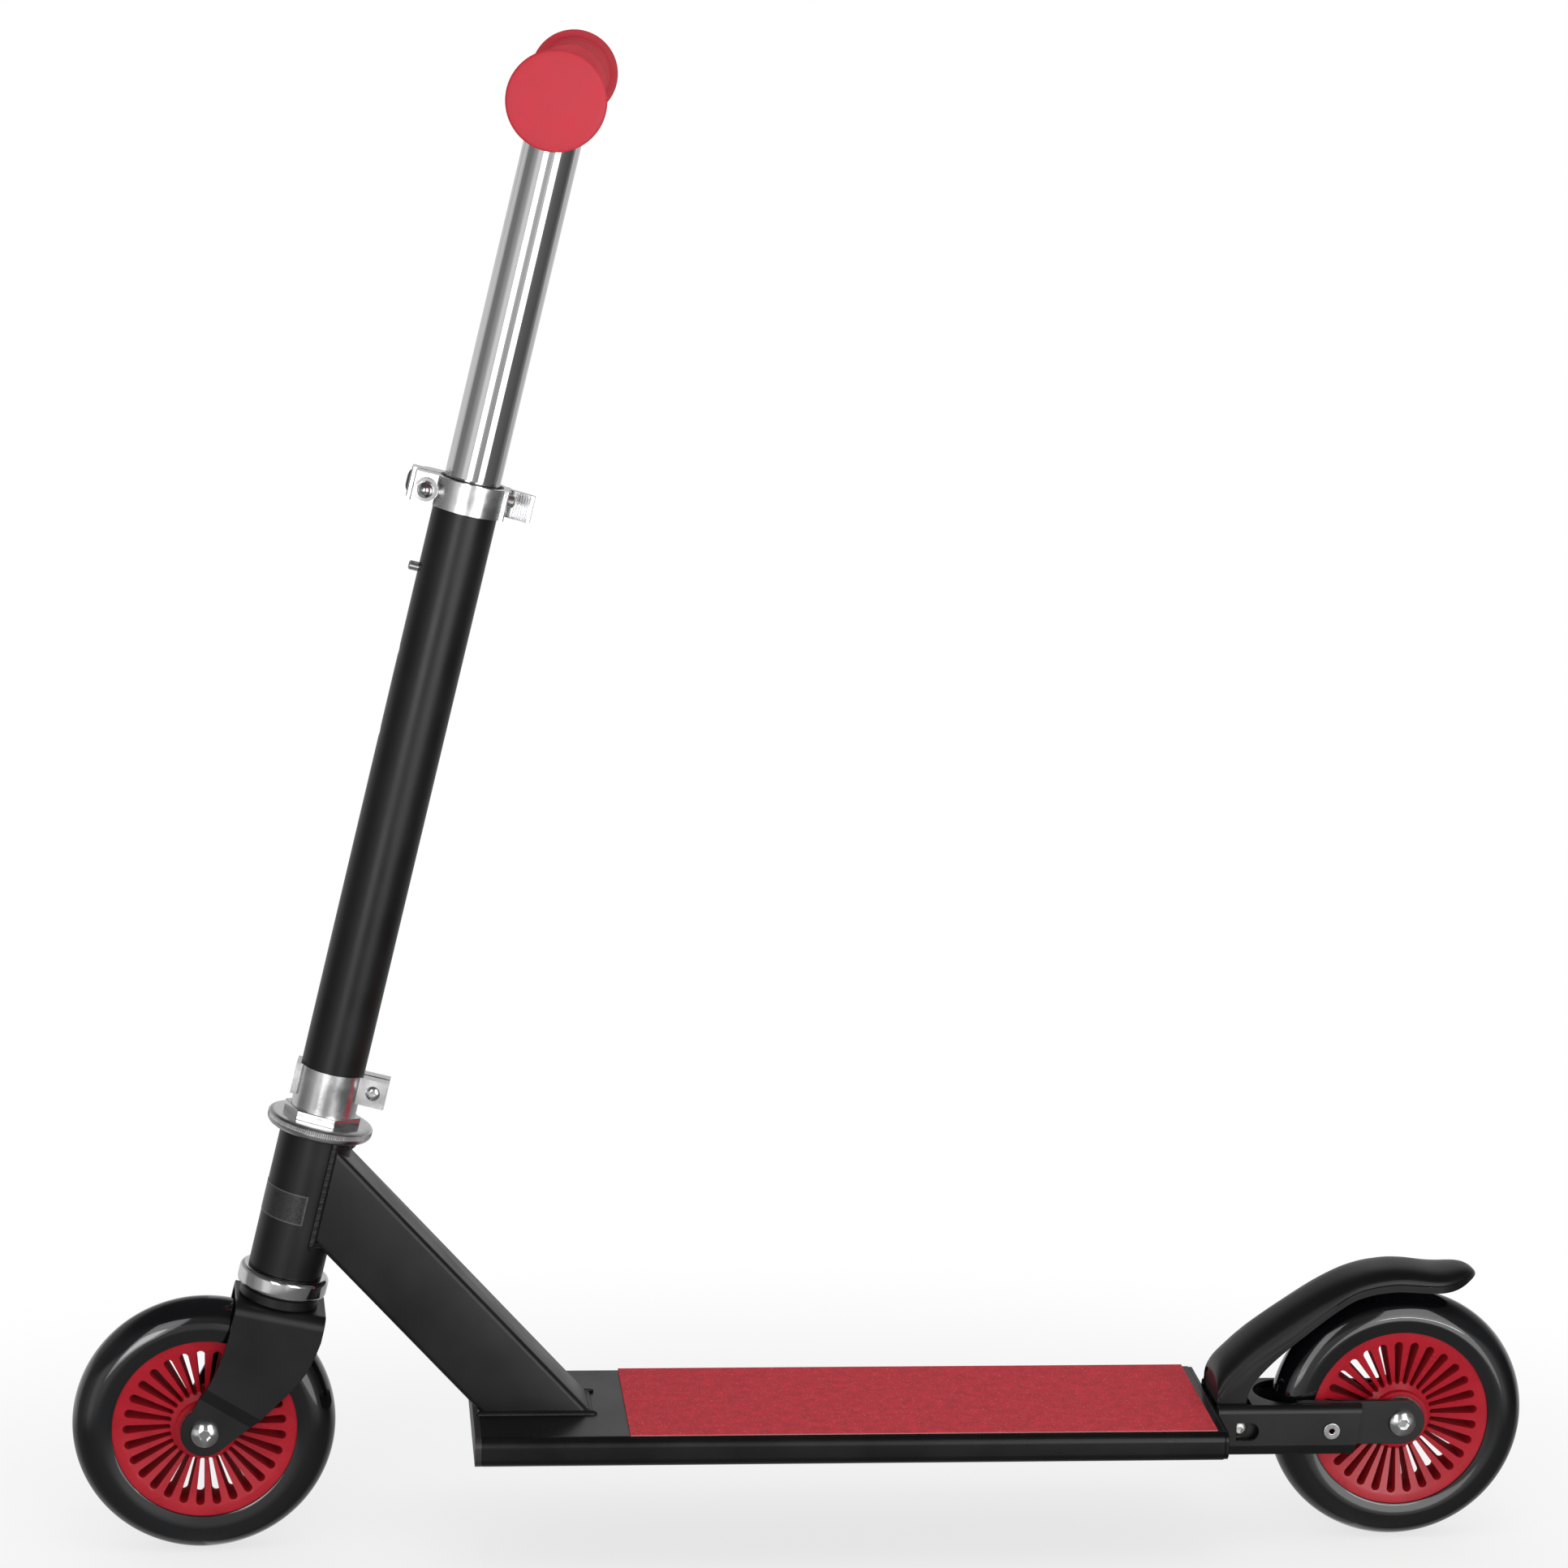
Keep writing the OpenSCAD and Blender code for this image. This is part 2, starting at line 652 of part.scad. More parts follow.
// Outer races with their shields
module bearings() {
    color("silver") both_sides() {
        ring_y(9.5, 11, race_out - race_w, race_out);
        ring_y(spacer_r + 0.1, 9.5 + e, race_out - 0.9, race_out - 0.4);
    }
}
module bearing_balls() {
    color("white") for (y = [-race_out + race_w / 2, race_out - race_w / 2]) translate([0, y, 0])
        rotate([90, 0, 0])
        ball_ring(7, 7.75, 1.6, 0);
}
module front_tyre() { at_front_axle() tyre(); }
module front_core() { at_front_axle() core(); }
module front_bearings() { at_front_axle() bearings(); }
module front_bearing_balls() { at_front_axle() bearing_balls(); }
module rear_tyre() { at_rear_axle() tyre(); }
module rear_core() { at_rear_axle() core(); }
module rear_bearings() { at_rear_axle() bearings(); }
module rear_bearing_balls() { at_rear_axle() bearing_balls(); }

// ---- rear brake ----

// Stations along the fender: distance ahead of (-) or behind the rear axle, height of its top,
// half-width, and height of its lower edge
fender_stations = [
    [-88.6, 79.6, 16.6, 68.6], [-88, 83.2, 17, 68.4], [-85.4, 87.6, 17, 68.4], [-79, 94.2, 17, 68.4],
    [-75.2, 97.8, 17, 68.6], [-74, 98.8, 17, 75.4], [-71, 101.4, 17, 83.6], [-64, 106.7, 17, 92.2],
        [-55, 113.1, 17, 100.2],
    [-47, 118.4, 17, 106.2], [-39.6, 122.9, 17, 111.4], [-32, 126.7, 17, 116.2], [-25.2, 129.4, 17,
        119.8],
    [-18, 131.6, 17, 122.2], [-12, 132.7, 17, 123.3], [-5, 133.4, 17, 123.9], [2, 133.2, 17, 123.6],
        [7.6, 132.5, 17, 123.2],
    [13, 131.8, 17, 123.2], [18, 131.6, 16.4, 123.8], [22.5, 131.9, 15, 125], [26.6, 132.2, 12.8,
        126.8],
    [30, 131.8, 9.8, 128], [32.6, 130.4, 6.4, 127.6], [34.2, 128.8, 3, 127]];
arch_power = 2 / 2.6;                       // roundness of the arch
arch_steps = 16;
// One arch from its left lower edge over the top to its right lower edge
function arch(st, inset) = let (w = max(st[2] - inset, 0.8), top = st[1] - inset * 1.05, low = st[3])
    [for (i = [0 : arch_steps]) let (a = 180 * i / arch_steps)
        [rear_x + st[0], -w * sign(cos(a)) * pow(abs(cos(a)), arch_power),
            low + max(top - low, 1) * pow(abs(sin(a)), arch_power)]];
function fender_ring(st) = concat(arch(st, 0), [for (p = arch(st, fender_wall)) p]);
module fender_shell() {
    n = arch_steps + 1;
    outer = [for (st = fender_stations) each arch(st, 0)];
    inner = [for (st = fender_stations) each arch(st, fender_wall)];
    m = len(fender_stations);
    base = n * m;
    faces = concat(
        [for (k = [0 : m - 2], i = [0 : n - 2]) [k * n + i, k * n + i + 1, (k + 1) * n + i + 1,
            (k + 1) * n + i]],
        [for (k = [0 : m - 2], i = [0 : n - 2]) [base + k * n + i, base + (k + 1) * n + i,
            base + (k + 1) * n + i + 1, base + k * n + i + 1]],
        [for (k = [0 : m - 2], j = [0, 1]) let (i = j * (n - 1)) j == 0
            ? [k * n + i, (k + 1) * n + i, base + (k + 1) * n + i, base + k * n + i]
            : [k * n + i, base + k * n + i, base + (k + 1) * n + i, (k + 1) * n + i]],
        [for (i = [0 : n - 2]) [i, base + i, base + i + 1, i + 1]],
        [for (i = [0 : n - 2]) let (o = (m - 1) * n + i) [o, o + 1, base + o + 1, base + o]]);
    polyhedron(points = concat(outer, inner), faces = faces, convexity = 6);
}
// Moulded fender; its two inner lugs turn on the pivot bolt
module brake_fender() {
    color("#1e1e21") {
        fender_shell();
        // front wall, which closes the arch ahead of the lugs
        run_x(rear_x - 87.9, rear_x - 85) polygon([[-14.4, 68.6], [-14.4, 72], [-12, 76.4],
            [-6, 78.6], [6, 78.6],
            [12, 76.4], [14.4, 72], [14.4, 68.6]]);
        difference() {
            both_sides() side_plate(10.4, 13.6) {
                translate([pivot_x, pivot_z]) circle(5.6);
                polygon([[pivot_x - 5.6, pivot_z], [pivot_x - 7.4, 76], [pivot_x - 6.5, 82],
                    [pivot_x - 2, 87],
                    [pivot_x + 3.6, 91.2], [pivot_x + 3.6, 62]]);
            }
            translate([pivot_x, 0, pivot_z]) rod_y(2.55, -20, 20);
        }
    }
}

module brake_pad() {
    color("#2a2a2c") difference() {
        side_plate(-8, 8) difference() {
            polygon([[rear_x - 14, 120], [rear_x - 14, 131], [rear_x + 14, 131], [rear_x + 14, 120]]);
            translate([rear_x, wheel_r]) circle(66.3, $fn = 180);
        }
        fender_shell();
    }
}

// Wire of radius r swept along points
function unit(v) = v / norm(v);
function tangent(p, i) = unit(p[min(i + 1, len(p) - 1)] - p[max(i - 1, 0)]);
module wire(p, r, sides = 8) {
    rings = [for (i = [0 : len(p) - 1]) let (t = tangent(p, i),
        a = unit(cross(t, [0.31, 0.93, 0.2])), b = cross(t, a))
        each [for (k = [0 : sides - 1]) p[i] + r * (cos(360 * k / sides) * a +
            sin(360 * k / sides) * b)]];
    m = len(p);
    polyhedron(points = rings, faces = concat(
        [for (i = [0 : m - 2], k = [0 : sides - 1]) let (q = (k + 1) % sides)
            [i * sides + k, (i + 1) * sides + k, (i + 1) * sides + q, i * sides + q]],
        [[for (k = [0 : sides - 1]) k]],
        [[for (k = [sides - 1 : -1 : 0]) (m - 1) * sides + k]]));
}
// Torsion spring round the pivot bolt: one leg under the fender's roof, one on the bracket
module brake_spring() {
    turns = 4;
    coil_r = 3.4;
    coil = [for (i = [0 : turns * 12]) let (a = 30 * i)
        [pivot_x + coil_r * cos(a), -4.4 + 8.8 * i / (turns * 12), pivot_z + coil_r * sin(a)]];
    color("grey") wire(concat([[pivot_x + coil_r, -4.4, pivot_z - 7]], coil,
        [[pivot_x + coil_r, 4.4, pivot_z + 16]]), 0.7);
}

head_tube();
down_tube();
frame_welds();
deck();
deck_front_cap();
deck_rear_plate();
grip_tape();
rear_bracket();
rear_dropout_left();
rear_dropout_right();
bracket_spacers();
bracket_rivets();
fender_pivot_bolt();
rear_axle_bolt();
rear_axle_nut();
rear_inner_races();
lower_headset_cup();
upper_headset_cup();
head_tube_sticker();
fork();
crown_race();
lower_bearing_balls();
upper_bearing_balls();
steerer_tube();
headset_flange();
locknut();
lower_clamp();
lower_clamp_bolt();
column_tube();
column_bush();
upper_collar();
collar_screw();
skewer();
domed_nut();
cam_seat();
lever_pin();
front_axle_bolt();
front_axle_nut();
front_inner_races();
clamp_lever();
stem_tube();
crossbar();
left_grip();
right_grip();
button_spring();
snap_button();
front_tyre();
front_core();
front_bearings();
front_bearing_balls();
rear_tyre();
rear_core();
rear_bearings();
rear_bearing_balls();
brake_fender();
brake_pad();
brake_spring();
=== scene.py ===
import bpy
import math
from mathutils import Matrix, Vector


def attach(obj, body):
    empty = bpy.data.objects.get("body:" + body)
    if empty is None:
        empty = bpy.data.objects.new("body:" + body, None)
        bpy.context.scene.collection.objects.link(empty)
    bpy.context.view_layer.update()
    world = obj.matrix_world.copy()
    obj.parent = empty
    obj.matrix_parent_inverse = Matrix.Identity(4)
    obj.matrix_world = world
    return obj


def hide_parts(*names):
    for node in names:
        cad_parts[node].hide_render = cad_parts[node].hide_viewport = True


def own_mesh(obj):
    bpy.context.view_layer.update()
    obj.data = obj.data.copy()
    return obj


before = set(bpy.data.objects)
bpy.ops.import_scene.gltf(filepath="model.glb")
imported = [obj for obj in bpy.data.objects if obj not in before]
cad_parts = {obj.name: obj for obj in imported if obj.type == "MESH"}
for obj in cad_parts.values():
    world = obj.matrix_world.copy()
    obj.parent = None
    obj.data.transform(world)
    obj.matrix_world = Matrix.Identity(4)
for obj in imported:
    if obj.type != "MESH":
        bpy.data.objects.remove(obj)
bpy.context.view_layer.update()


# ---------------------------------------------------------------------------
# Camera. It stands two metres off the scooter's left side, a little behind
# the front wheel and above handlebar height, with a long lens.
# ---------------------------------------------------------------------------
def turned(degrees, axis):
    """A turn about one of the axes through the origin."""
    return Matrix.Rotation(math.radians(degrees), 4, axis)


stand = Matrix.Translation((-0.2293, -2.0043, 0.7785))
pan, tilt, roll = -5.991, 11.726, 1.563
camera = bpy.data.objects.new("camera", bpy.data.cameras.new("camera"))
bpy.context.scene.collection.objects.link(camera)
camera.data.sensor_width = 36
camera.data.lens = 104.6
camera.data.clip_end = 400
camera.matrix_world = stand @ turned(pan, "Z") @ turned(90 - tilt, "X") @ turned(roll, "Z")
bpy.context.scene.camera = camera
bpy.context.scene.view_settings.view_transform = "Standard"


# ---------------------------------------------------------------------------
# Studio. A white paper sweep in a grey room. The world gives an even light
# and a white background; gloss and chrome see it as the room's grey walls
# and dark ceiling. The room's two windows are area lamps.
# ---------------------------------------------------------------------------
def shader_node(tree, kind, feeds, **settings):
    """Add a node; feeds gives its inputs, each a number, a colour or another node's output."""
    made = tree.nodes.new("ShaderNode" + kind)
    for key, value in settings.items():
        setattr(made, key, value)
    for key, value in feeds.items():
        if isinstance(value, bpy.types.NodeSocket):
            tree.links.new(value, made.inputs[key])
        else:
            made.inputs[key].default_value = value
    return made


def maths(tree, operation, first, second=0.0):
    """The result of one sum."""
    return shader_node(tree, "Math", {0: first, 1: second}, operation=operation).outputs[0]


def fade(tree, value, start, stop, low=0.0, high=1.0, easing="LINEAR"):
    """Go from low to high as the value goes from start to stop."""
    feeds = {"Value": value, "From Min": start, "From Max": stop, "To Min": low, "To Max": high}
    return shader_node(tree, "MapRange", feeds, interpolation_type=easing).outputs["Result"]


def blend(tree, share, base, other):
    """One colour over another, by its share."""
    feeds = {"Factor": share, "A": base, "B": other}
    return shader_node(tree, "Mix", feeds, data_type="RGBA").outputs["Result"]


def blend_shaders(tree, share, base, other):
    """One shader over another, by its share."""
    return shader_node(tree, "MixShader", {0: share, 1: base, 2: other}).outputs[0]


def grey(level):
    """A neutral colour."""
    return (level, level, level, 1.0)


studio = bpy.data.worlds.new("studio")
bpy.context.scene.world = studio
studio.use_nodes = True
tree = studio.node_tree
ambient = tree.nodes["Background"]
ambient.inputs["Color"].default_value = grey(1.0)
ambient.inputs["Strength"].default_value = 0.6
direction = shader_node(tree, "TexCoord", {}).outputs["Generated"]
split = shader_node(tree, "SeparateXYZ", {0: direction})
rise = split.outputs["Z"]
bearing = maths(tree, "ARCTAN2", split.outputs["X"], maths(tree, "MULTIPLY", split.outputs["Y"], -1.0))
around = fade(tree, bearing, -math.pi, math.pi)


def walls(tree, around, stops, behind=0.38):
    """The walls' greys by their bearing from the camera's side, in degrees; they end behind the scooter."""
    painted = shader_node(tree, "ValToRGB", {"Fac": around})
    painted.color_ramp.elements[0].color = grey(stops[0][1])
    painted.color_ramp.elements[1].color = grey(behind)
    for degrees, level in stops[1:]:
        painted.color_ramp.elements.new((degrees + 180) / 360).color = grey(level)
    return painted.outputs["Color"]


upper_walls = walls(tree, around, (
    (-180, 0.2), (-125, 0.2), (-110, 0.17), (-100, 0.1), (-60, 0.08), (-25, 0.1), (0, 0.12), (25, 0.1),
    (60, 0.07), (94, 0.05), (104, 0.09), (122, 0.16), (150, 0.2)))
level_walls = walls(tree, around, (
    (-180, 0.38), (-125, 0.37), (-112, 0.32), (-103, 0.12), (-82, 0.11), (-68, 0.18), (-58, 0.22),
    (-48, 0.42), (-37, 0.42), (-28, 0.3), (-9, 0.3), (3, 0.27), (10, 0.45), (30, 0.4), (45, 0.3), (50, 0.18),
    (58, 0.12), (66, 0.06), (78, 0.035), (94, 0.022), (104, 0.06), (112, 0.18), (122, 0.3), (150, 0.36)))
upper_room = blend(tree, fade(tree, rise, 0.45, 0.75, easing="SMOOTHSTEP"), upper_walls, grey(0.035))
above_sill = fade(tree, rise, -0.38, -0.2, easing="SMOOTHSTEP")
below_lintel = fade(tree, rise, 0.24, 0.08, easing="SMOOTHSTEP")
at_eye_level = maths(tree, "MULTIPLY", above_sill, below_lintel)
painted_room = blend(tree, at_eye_level, upper_room, level_walls)
room = shader_node(tree, "Background", {"Color": painted_room, "Strength": 1.7})
white_wall = shader_node(tree, "Background", {"Color": grey(1.0)})
ray = shader_node(tree, "LightPath", {})
reflected = blend_shaders(tree, ray.outputs["Is Glossy Ray"], ambient.outputs[0], room.outputs[0])
seen = maths(tree, "MAXIMUM", ray.outputs["Is Camera Ray"], ray.outputs["Is Transmission Ray"])
all_rays = blend_shaders(tree, seen, reflected, white_wall.outputs[0])
tree.links.new(all_rays, tree.nodes["World Output"].inputs["Surface"])


def softbox(name, spot, target, wide, tall, radiance, mirrored):
    """An area lamp: either one that only gloss and chrome show, or one that only lights."""
    bpy.ops.object.select_all(action="DESELECT")
    bpy.ops.object.light_add(type="AREA", location=spot)
    lamp = bpy.context.object
    lamp.name = name
    lamp.data.shape = "RECTANGLE"
    lamp.data.size = wide
    lamp.data.size_y = tall
    lamp.data.energy = radiance * math.pi * wide * tall
    lamp.rotation_euler = (Vector(target) - Vector(spot)).to_track_quat("-Z", "Y").to_euler()
    lamp.visible_camera = False
    lamp.visible_glossy = mirrored
    lamp.visible_diffuse = not mirrored


# two tall windows beside the camera, each a pale frame, a brighter pane and a sill, and three soft fills:
# where each is, what it faces, its width and height in metres, and how bright it is against white paper
softbox("left_window", (-0.82, -1.87, 0.8), (-0.15, 0, 0.8), 0.76, 1.4, 1.7, True)
softbox("left_pane", (-0.82, -1.87, 0.55), (-0.15, 0, 0.55), 0.5, 1.0, 4.0, True)
softbox("left_sill", (-0.82, -1.87, 0), (-0.15, 0, 0), 0.76, 0.2, 2.0, True)
softbox("right_window", (0.83, -1.77, 0.8), (-0.1, 0, 0.8), 0.94, 1.4, 1.7, True)
softbox("right_pane", (0.83, -1.77, 0.55), (-0.1, 0, 0.55), 0.6, 1.0, 13.0, True)
softbox("right_sill", (0.83, -1.77, -0.15), (-0.1, 0, -0.15), 0.94, 0.5, 1.5, True)
softbox("left_fill", (-0.82, -1.87, 0.5), (-0.15, 0, 0.35), 0.6, 0.6, 6.0, False)
softbox("right_fill", (0.8, -1.77, 0.5), (-0.1, 0, 0.35), 0.82, 0.6, 6.0, False)
softbox("top_fill", (0.1, -0.5, 1.9), (0, 0, 0.1), 0.9, 0.9, 1.5, False)

# The sweep's floor is white paper. Near the scooter it takes the soft shadow;
# further out it fades into the white wall, and mirrors look past it.
bpy.ops.object.select_all(action="DESELECT")
bpy.ops.mesh.primitive_plane_add(size=300)
sweep = bpy.context.object
sweep.name = "sweep"
paper = bpy.data.materials.new("white_paper")
paper.use_nodes = True
tree = paper.node_tree
matte = tree.nodes["Principled BSDF"]
matte.inputs["Base Color"].default_value = grey(0.93)
matte.inputs["Roughness"].default_value = 0.9
matte.inputs["Specular IOR Level"].default_value = 0.1
glow = shader_node(tree, "Emission", {"Color": grey(1.0)})
clear = shader_node(tree, "BsdfTransparent", {})
spot = shader_node(tree, "TexCoord", {}).outputs["Object"]
oval = shader_node(tree, "Mapping", {"Vector": spot, "Scale": (0.8, 1.25, 1.0)}).outputs["Vector"]
reach = shader_node(tree, "VectorMath", {0: oval}, operation="LENGTH").outputs["Value"]
white_share = fade(tree, reach, 0.2, 0.56, low=0.7, easing="SMOOTHSTEP")
ray = shader_node(tree, "LightPath", {})
to_camera = maths(tree, "MULTIPLY", ray.outputs["Is Camera Ray"], white_share)
lit_paper = blend_shaders(tree, to_camera, matte.outputs[0], glow.outputs[0])
open_floor = blend_shaders(tree, ray.outputs["Is Glossy Ray"], lit_paper, clear.outputs[0])
tree.links.new(open_floor, tree.nodes["Material Output"].inputs["Surface"])
sweep.data.materials.append(paper)


# ---------------------------------------------------------------------------
# Head tube. A plain steel tube, lathe-faced at both ends and welded to the
# down tube, in satin black stove enamel with a fine orange-peel skin.
# ---------------------------------------------------------------------------
mm = 0.001


def placed(x, y, z):
    """A move, in mm."""
    return Matrix.Translation((x * mm, y * mm, z * mm))


def only(piece):
    """Select one piece and make it the one the operators work on."""
    bpy.ops.object.select_all(action="DESELECT")
    piece.select_set(True)
    bpy.context.view_layer.objects.active = piece


def modify(piece, kind, **settings):
    """Add a modifier and apply it at once."""
    only(piece)
    modifier = piece.modifiers.new(kind.lower(), kind)
    for key, value in settings.items():
        setattr(modifier, key, value)
    bpy.ops.object.modifier_apply(modifier=modifier.name)


def round_edges(piece, width, segments=3, angle=30):
    """Round every edge sharper than the angle, by a width in mm."""
    modify(piece, "BEVEL", width=width * mm, segments=segments, limit_method="ANGLE",
           angle_limit=math.radians(angle))


def smooth(piece, angle):
    """Shade smoothly across every edge flatter than the angle."""
    only(piece)
    bpy.ops.object.shade_smooth_by_angle(angle=math.radians(angle))


def soften(piece, width, segments=3, angle=30, smooth_angle=40):
    """Round the sharp edges, and shade the roundings smoothly while the faces stay flat."""
    round_edges(piece, width, segments, angle)
    smooth(piece, smooth_angle)
    modify(piece, "WEIGHTED_NORMAL", keep_sharp=True)


def settle(piece):
    """Put the place into the mesh, so that the object is at the origin, unturned."""
    only(piece)
    bpy.ops.object.transform_apply(location=True, rotation=True, scale=True)


def seat(piece, matrix):
    """Carry the piece to its place."""
    piece.matrix_world = matrix @ piece.matrix_world
    settle(piece)


def lathe(profile, steps=128, closed=True):
    """Turn a profile of (radius, height) corners, in mm, about Z."""
    bpy.ops.object.select_all(action="DESELECT")
    bpy.ops.mesh.primitive_plane_add(size=mm)
    piece = bpy.context.object
    bpy.ops.object.mode_set(mode="EDIT")
    bpy.ops.mesh.select_all(action="SELECT")
    bpy.ops.mesh.merge(type="CENTER")
    bpy.ops.transform.translate(value=(profile[0][0] * mm, 0, profile[0][1] * mm))
    corners = list(profile) + ([profile[0]] if closed else [])
    for (r0, h0), (r1, h1) in zip(corners, corners[1:]):
        bpy.ops.mesh.extrude_region_move(
            TRANSFORM_OT_translate={"value": ((r1 - r0) * mm, 0, (h1 - h0) * mm)})
    bpy.ops.mesh.select_all(action="SELECT")
    bpy.ops.mesh.spin(steps=steps, angle=2 * math.pi, center=(0, 0, 0), axis=(0, 0, 1))
    bpy.ops.mesh.select_all(action="SELECT")
    bpy.ops.mesh.remove_doubles(threshold=0.000002)
    bpy.ops.mesh.normals_make_consistent(inside=False)
    bpy.ops.object.mode_set(mode="OBJECT")
    return piece


def sleeve(bore, radius, low, high, steps=128):
    """A plain turned tube."""
    return lathe([(bore, low), (radius, low), (radius, high), (bore, high)], steps)


def finish(piece, name, body, slot, material, *replaced):
    """Name the piece, coat it, hang it on its body and let it stand in for solids."""
    piece.name = name
    piece.data.name = name
    piece.data.materials.clear()
    piece.data.materials.append(material)
    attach(piece, body)
    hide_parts(*replaced)
    return piece


def coat(name, colour, roughness, metallic=0.0, tone=0.12, spread=0.07, patch=60, grain=1500, relief=0.006,
         specular=0.5):
    """A surface whose tone and gloss drift in soft patches over a fine relief, in mm."""
    made = bpy.data.materials.new(name)
    made.use_nodes = True
    tree = made.node_tree
    shader = tree.nodes["Principled BSDF"]
    shader.inputs["Metallic"].default_value = metallic
    shader.inputs["Specular IOR Level"].default_value = specular
    place = shader_node(tree, "TexCoord", {}).outputs["Object"]
    cloud = shader_node(tree, "TexNoise", {"Vector": place, "Scale": patch, "Detail": 5.0}).outputs["Fac"]
    dark, light = 0.3, 0.7
    shade = shader_node(tree, "ValToRGB", {"Fac": cloud})
    shade.name = "shade"
    for stop, position, level in zip(shade.color_ramp.elements, (dark, light), (1 - tone, 1 + tone)):
        stop.position = position
        stop.color = tuple(c * level for c in colour) + (1.0,)
    tree.links.new(shade.outputs["Color"], shader.inputs["Base Color"])
    gloss = fade(tree, cloud, dark, light, roughness - spread, roughness + spread)
    tree.links.new(gloss, shader.inputs["Roughness"])
    grit = shader_node(tree, "TexNoise", {"Vector": place, "Scale": grain, "Detail": 3.0}).outputs["Fac"]
    bump = shader_node(tree, "Bump", {"Height": grit, "Distance": relief * mm})
    tree.links.new(bump.outputs["Normal"], shader.inputs["Normal"])
    return made


# the steering axis leans back and passes behind the front axle by the fork's offset; heights along it, in mm,
# start at the level of the axles
wheelbase, wheel_radius, fork_offset, head_lean = 557, 60, 20, 12.5
lean = math.radians(head_lean)
head = placed(-wheelbase / 2 + fork_offset / math.cos(lean), 0, wheel_radius) @ turned(head_lean, "Y")
head_radius = 17
enamel = coat("black_enamel", (0.0072, 0.007, 0.0072), 0.35, tone=0.18, spread=0.04, patch=45, grain=1300,
              relief=0.01, specular=0.36)
tube = sleeve(15, head_radius, 74.5, 141.2)
soften(tube, 0.5)
seat(tube, head)
finish(tube, "painted_head_tube", "frame", "frame_paint", enamel, "head_tube")


# ---------------------------------------------------------------------------
# Down tube. Rectangular steel tube with rounded corners, coped to fit the
# head tube and cut level to stand on the deck, in the same enamel.
# ---------------------------------------------------------------------------
def block(low, high):
    """A block between two corners, in mm."""
    bpy.ops.object.select_all(action="DESELECT")
    centre = [(a + b) / 2 * mm for a, b in zip(low, high)]
    bpy.ops.mesh.primitive_cube_add(size=1, location=centre)
    piece = bpy.context.object
    piece.scale = [(b - a) * mm for a, b in zip(low, high)]
    settle(piece)
    return piece


def rod(radius, low, high, steps=128):
    """A plain turned bar."""
    return lathe([(0, low), (radius, low), (radius, high), (0, high)], steps, closed=False)


def cut(piece, cutter):
    """Take the cutter's volume out of the piece."""
    modify(piece, "BOOLEAN", object=cutter, operation="DIFFERENCE", solver="EXACT")
    bpy.data.objects.remove(cutter)


deck_top = 67
fit = 0.02
half_wide, half_high = 15, 18.5
tube = block((-170, -half_wide, -half_high), (100, half_wide, half_high))
round_edges(tube, 2.6, segments=5)
seat(tube, placed(-150, 0, 92) @ turned(47, "Y"))
cope = rod(head_radius + fit, 0, 320)
ahead = block((-260, -50, 0), (0, 50, 320))
for cutter in (cope, ahead):
    seat(cutter, head)
    cut(tube, cutter)
cut(tube, block((-400, -60, -200), (100, 60, deck_top + fit)))
smooth(tube, 35)
finish(tube, "painted_down_tube", "frame", "frame_paint", enamel, "down_tube")


# ---------------------------------------------------------------------------
# Weld beads. Hand-laid fillets of overlapping scales: one round the foot of
# the down tube on the deck, one up each side of the head tube and across.
# ---------------------------------------------------------------------------
def join(pieces):
    """Make one piece of several."""
    bpy.ops.object.select_all(action="DESELECT")
    for piece in pieces:
        piece.select_set(True)
    bpy.context.view_layer.objects.active = pieces[0]
    bpy.ops.object.join()
    return pieces[0]


def bead(path, across, radius=1.8, pitch=0.8):
    """Scales laid along a path of points in mm; across gives the weld's outward direction."""
    scales = []
    for (a, b), outward in zip(zip(path, path[1:]), across):
        a, b = Vector(a), Vector(b)
        along = (b - a).normalized()
        out = Vector(outward).normalized()
        facing = Matrix((along, out.cross(along), out)).transposed().to_4x4()
        count = max(int((b - a).length / pitch), 1)
        for i in range(count):
            spot = a + (b - a) * (i + 0.5) / count
            bpy.ops.mesh.primitive_uv_sphere_add(segments=10, ring_count=6, radius=radius * mm)
            scale = bpy.context.object
            wobble = 1 + 0.03 * math.sin(1.3 * len(scales)) + 0.02 * math.sin(3.1 * len(scales))
            shape = Matrix.Diagonal((1.7, wobble, 0.55 * wobble, 1))
            scale.matrix_world = Matrix.Translation(spot * mm) @ facing @ turned(-5, "Y") @ shape
            scales.append(scale)
    return scales


foot_front, foot_rear, foot_side = -152, -101.4, 15.4
corner_side, toe = 14, deck_top + 0.3
front_bead, rear_bead = foot_front - 0.6, foot_rear - 0.5
rows = bead([(front_bead, -corner_side, toe), (front_bead, corner_side, toe)], [(-1, 0, 1)])
rows += bead([(foot_front, foot_side, toe), (foot_rear, foot_side, toe)], [(0, 1, 1)])
rows += bead([(rear_bead, corner_side, toe), (rear_bead, -corner_side, toe)], [(1, 0, 1)], radius=1.5)
rows += bead([(foot_rear, -foot_side, toe), (foot_front, -foot_side, toe)], [(0, -1, 1)])
foot = join(rows)
rows = []
seam_back, seam_side = 8.3, half_wide + 0.2
for side in (-1, 1):
    rows += bead([(seam_back, side * seam_side, 92), (seam_back, side * seam_side, 139.5)], [(0.4, side, 0)])
ring_radius = head_radius + 0.3
for height, lift in ((92.2, -1), (139.6, 1)):
    ring = [(ring_radius * math.cos(math.radians(a)), ring_radius * math.sin(math.radians(a)), height)
            for a in range(-60, 61, 12)]
    rows += bead(ring, [(x / ring_radius + 0.4, y / ring_radius, 0.5 * lift) for x, y, s in ring], radius=1.6)
neck = join(rows)
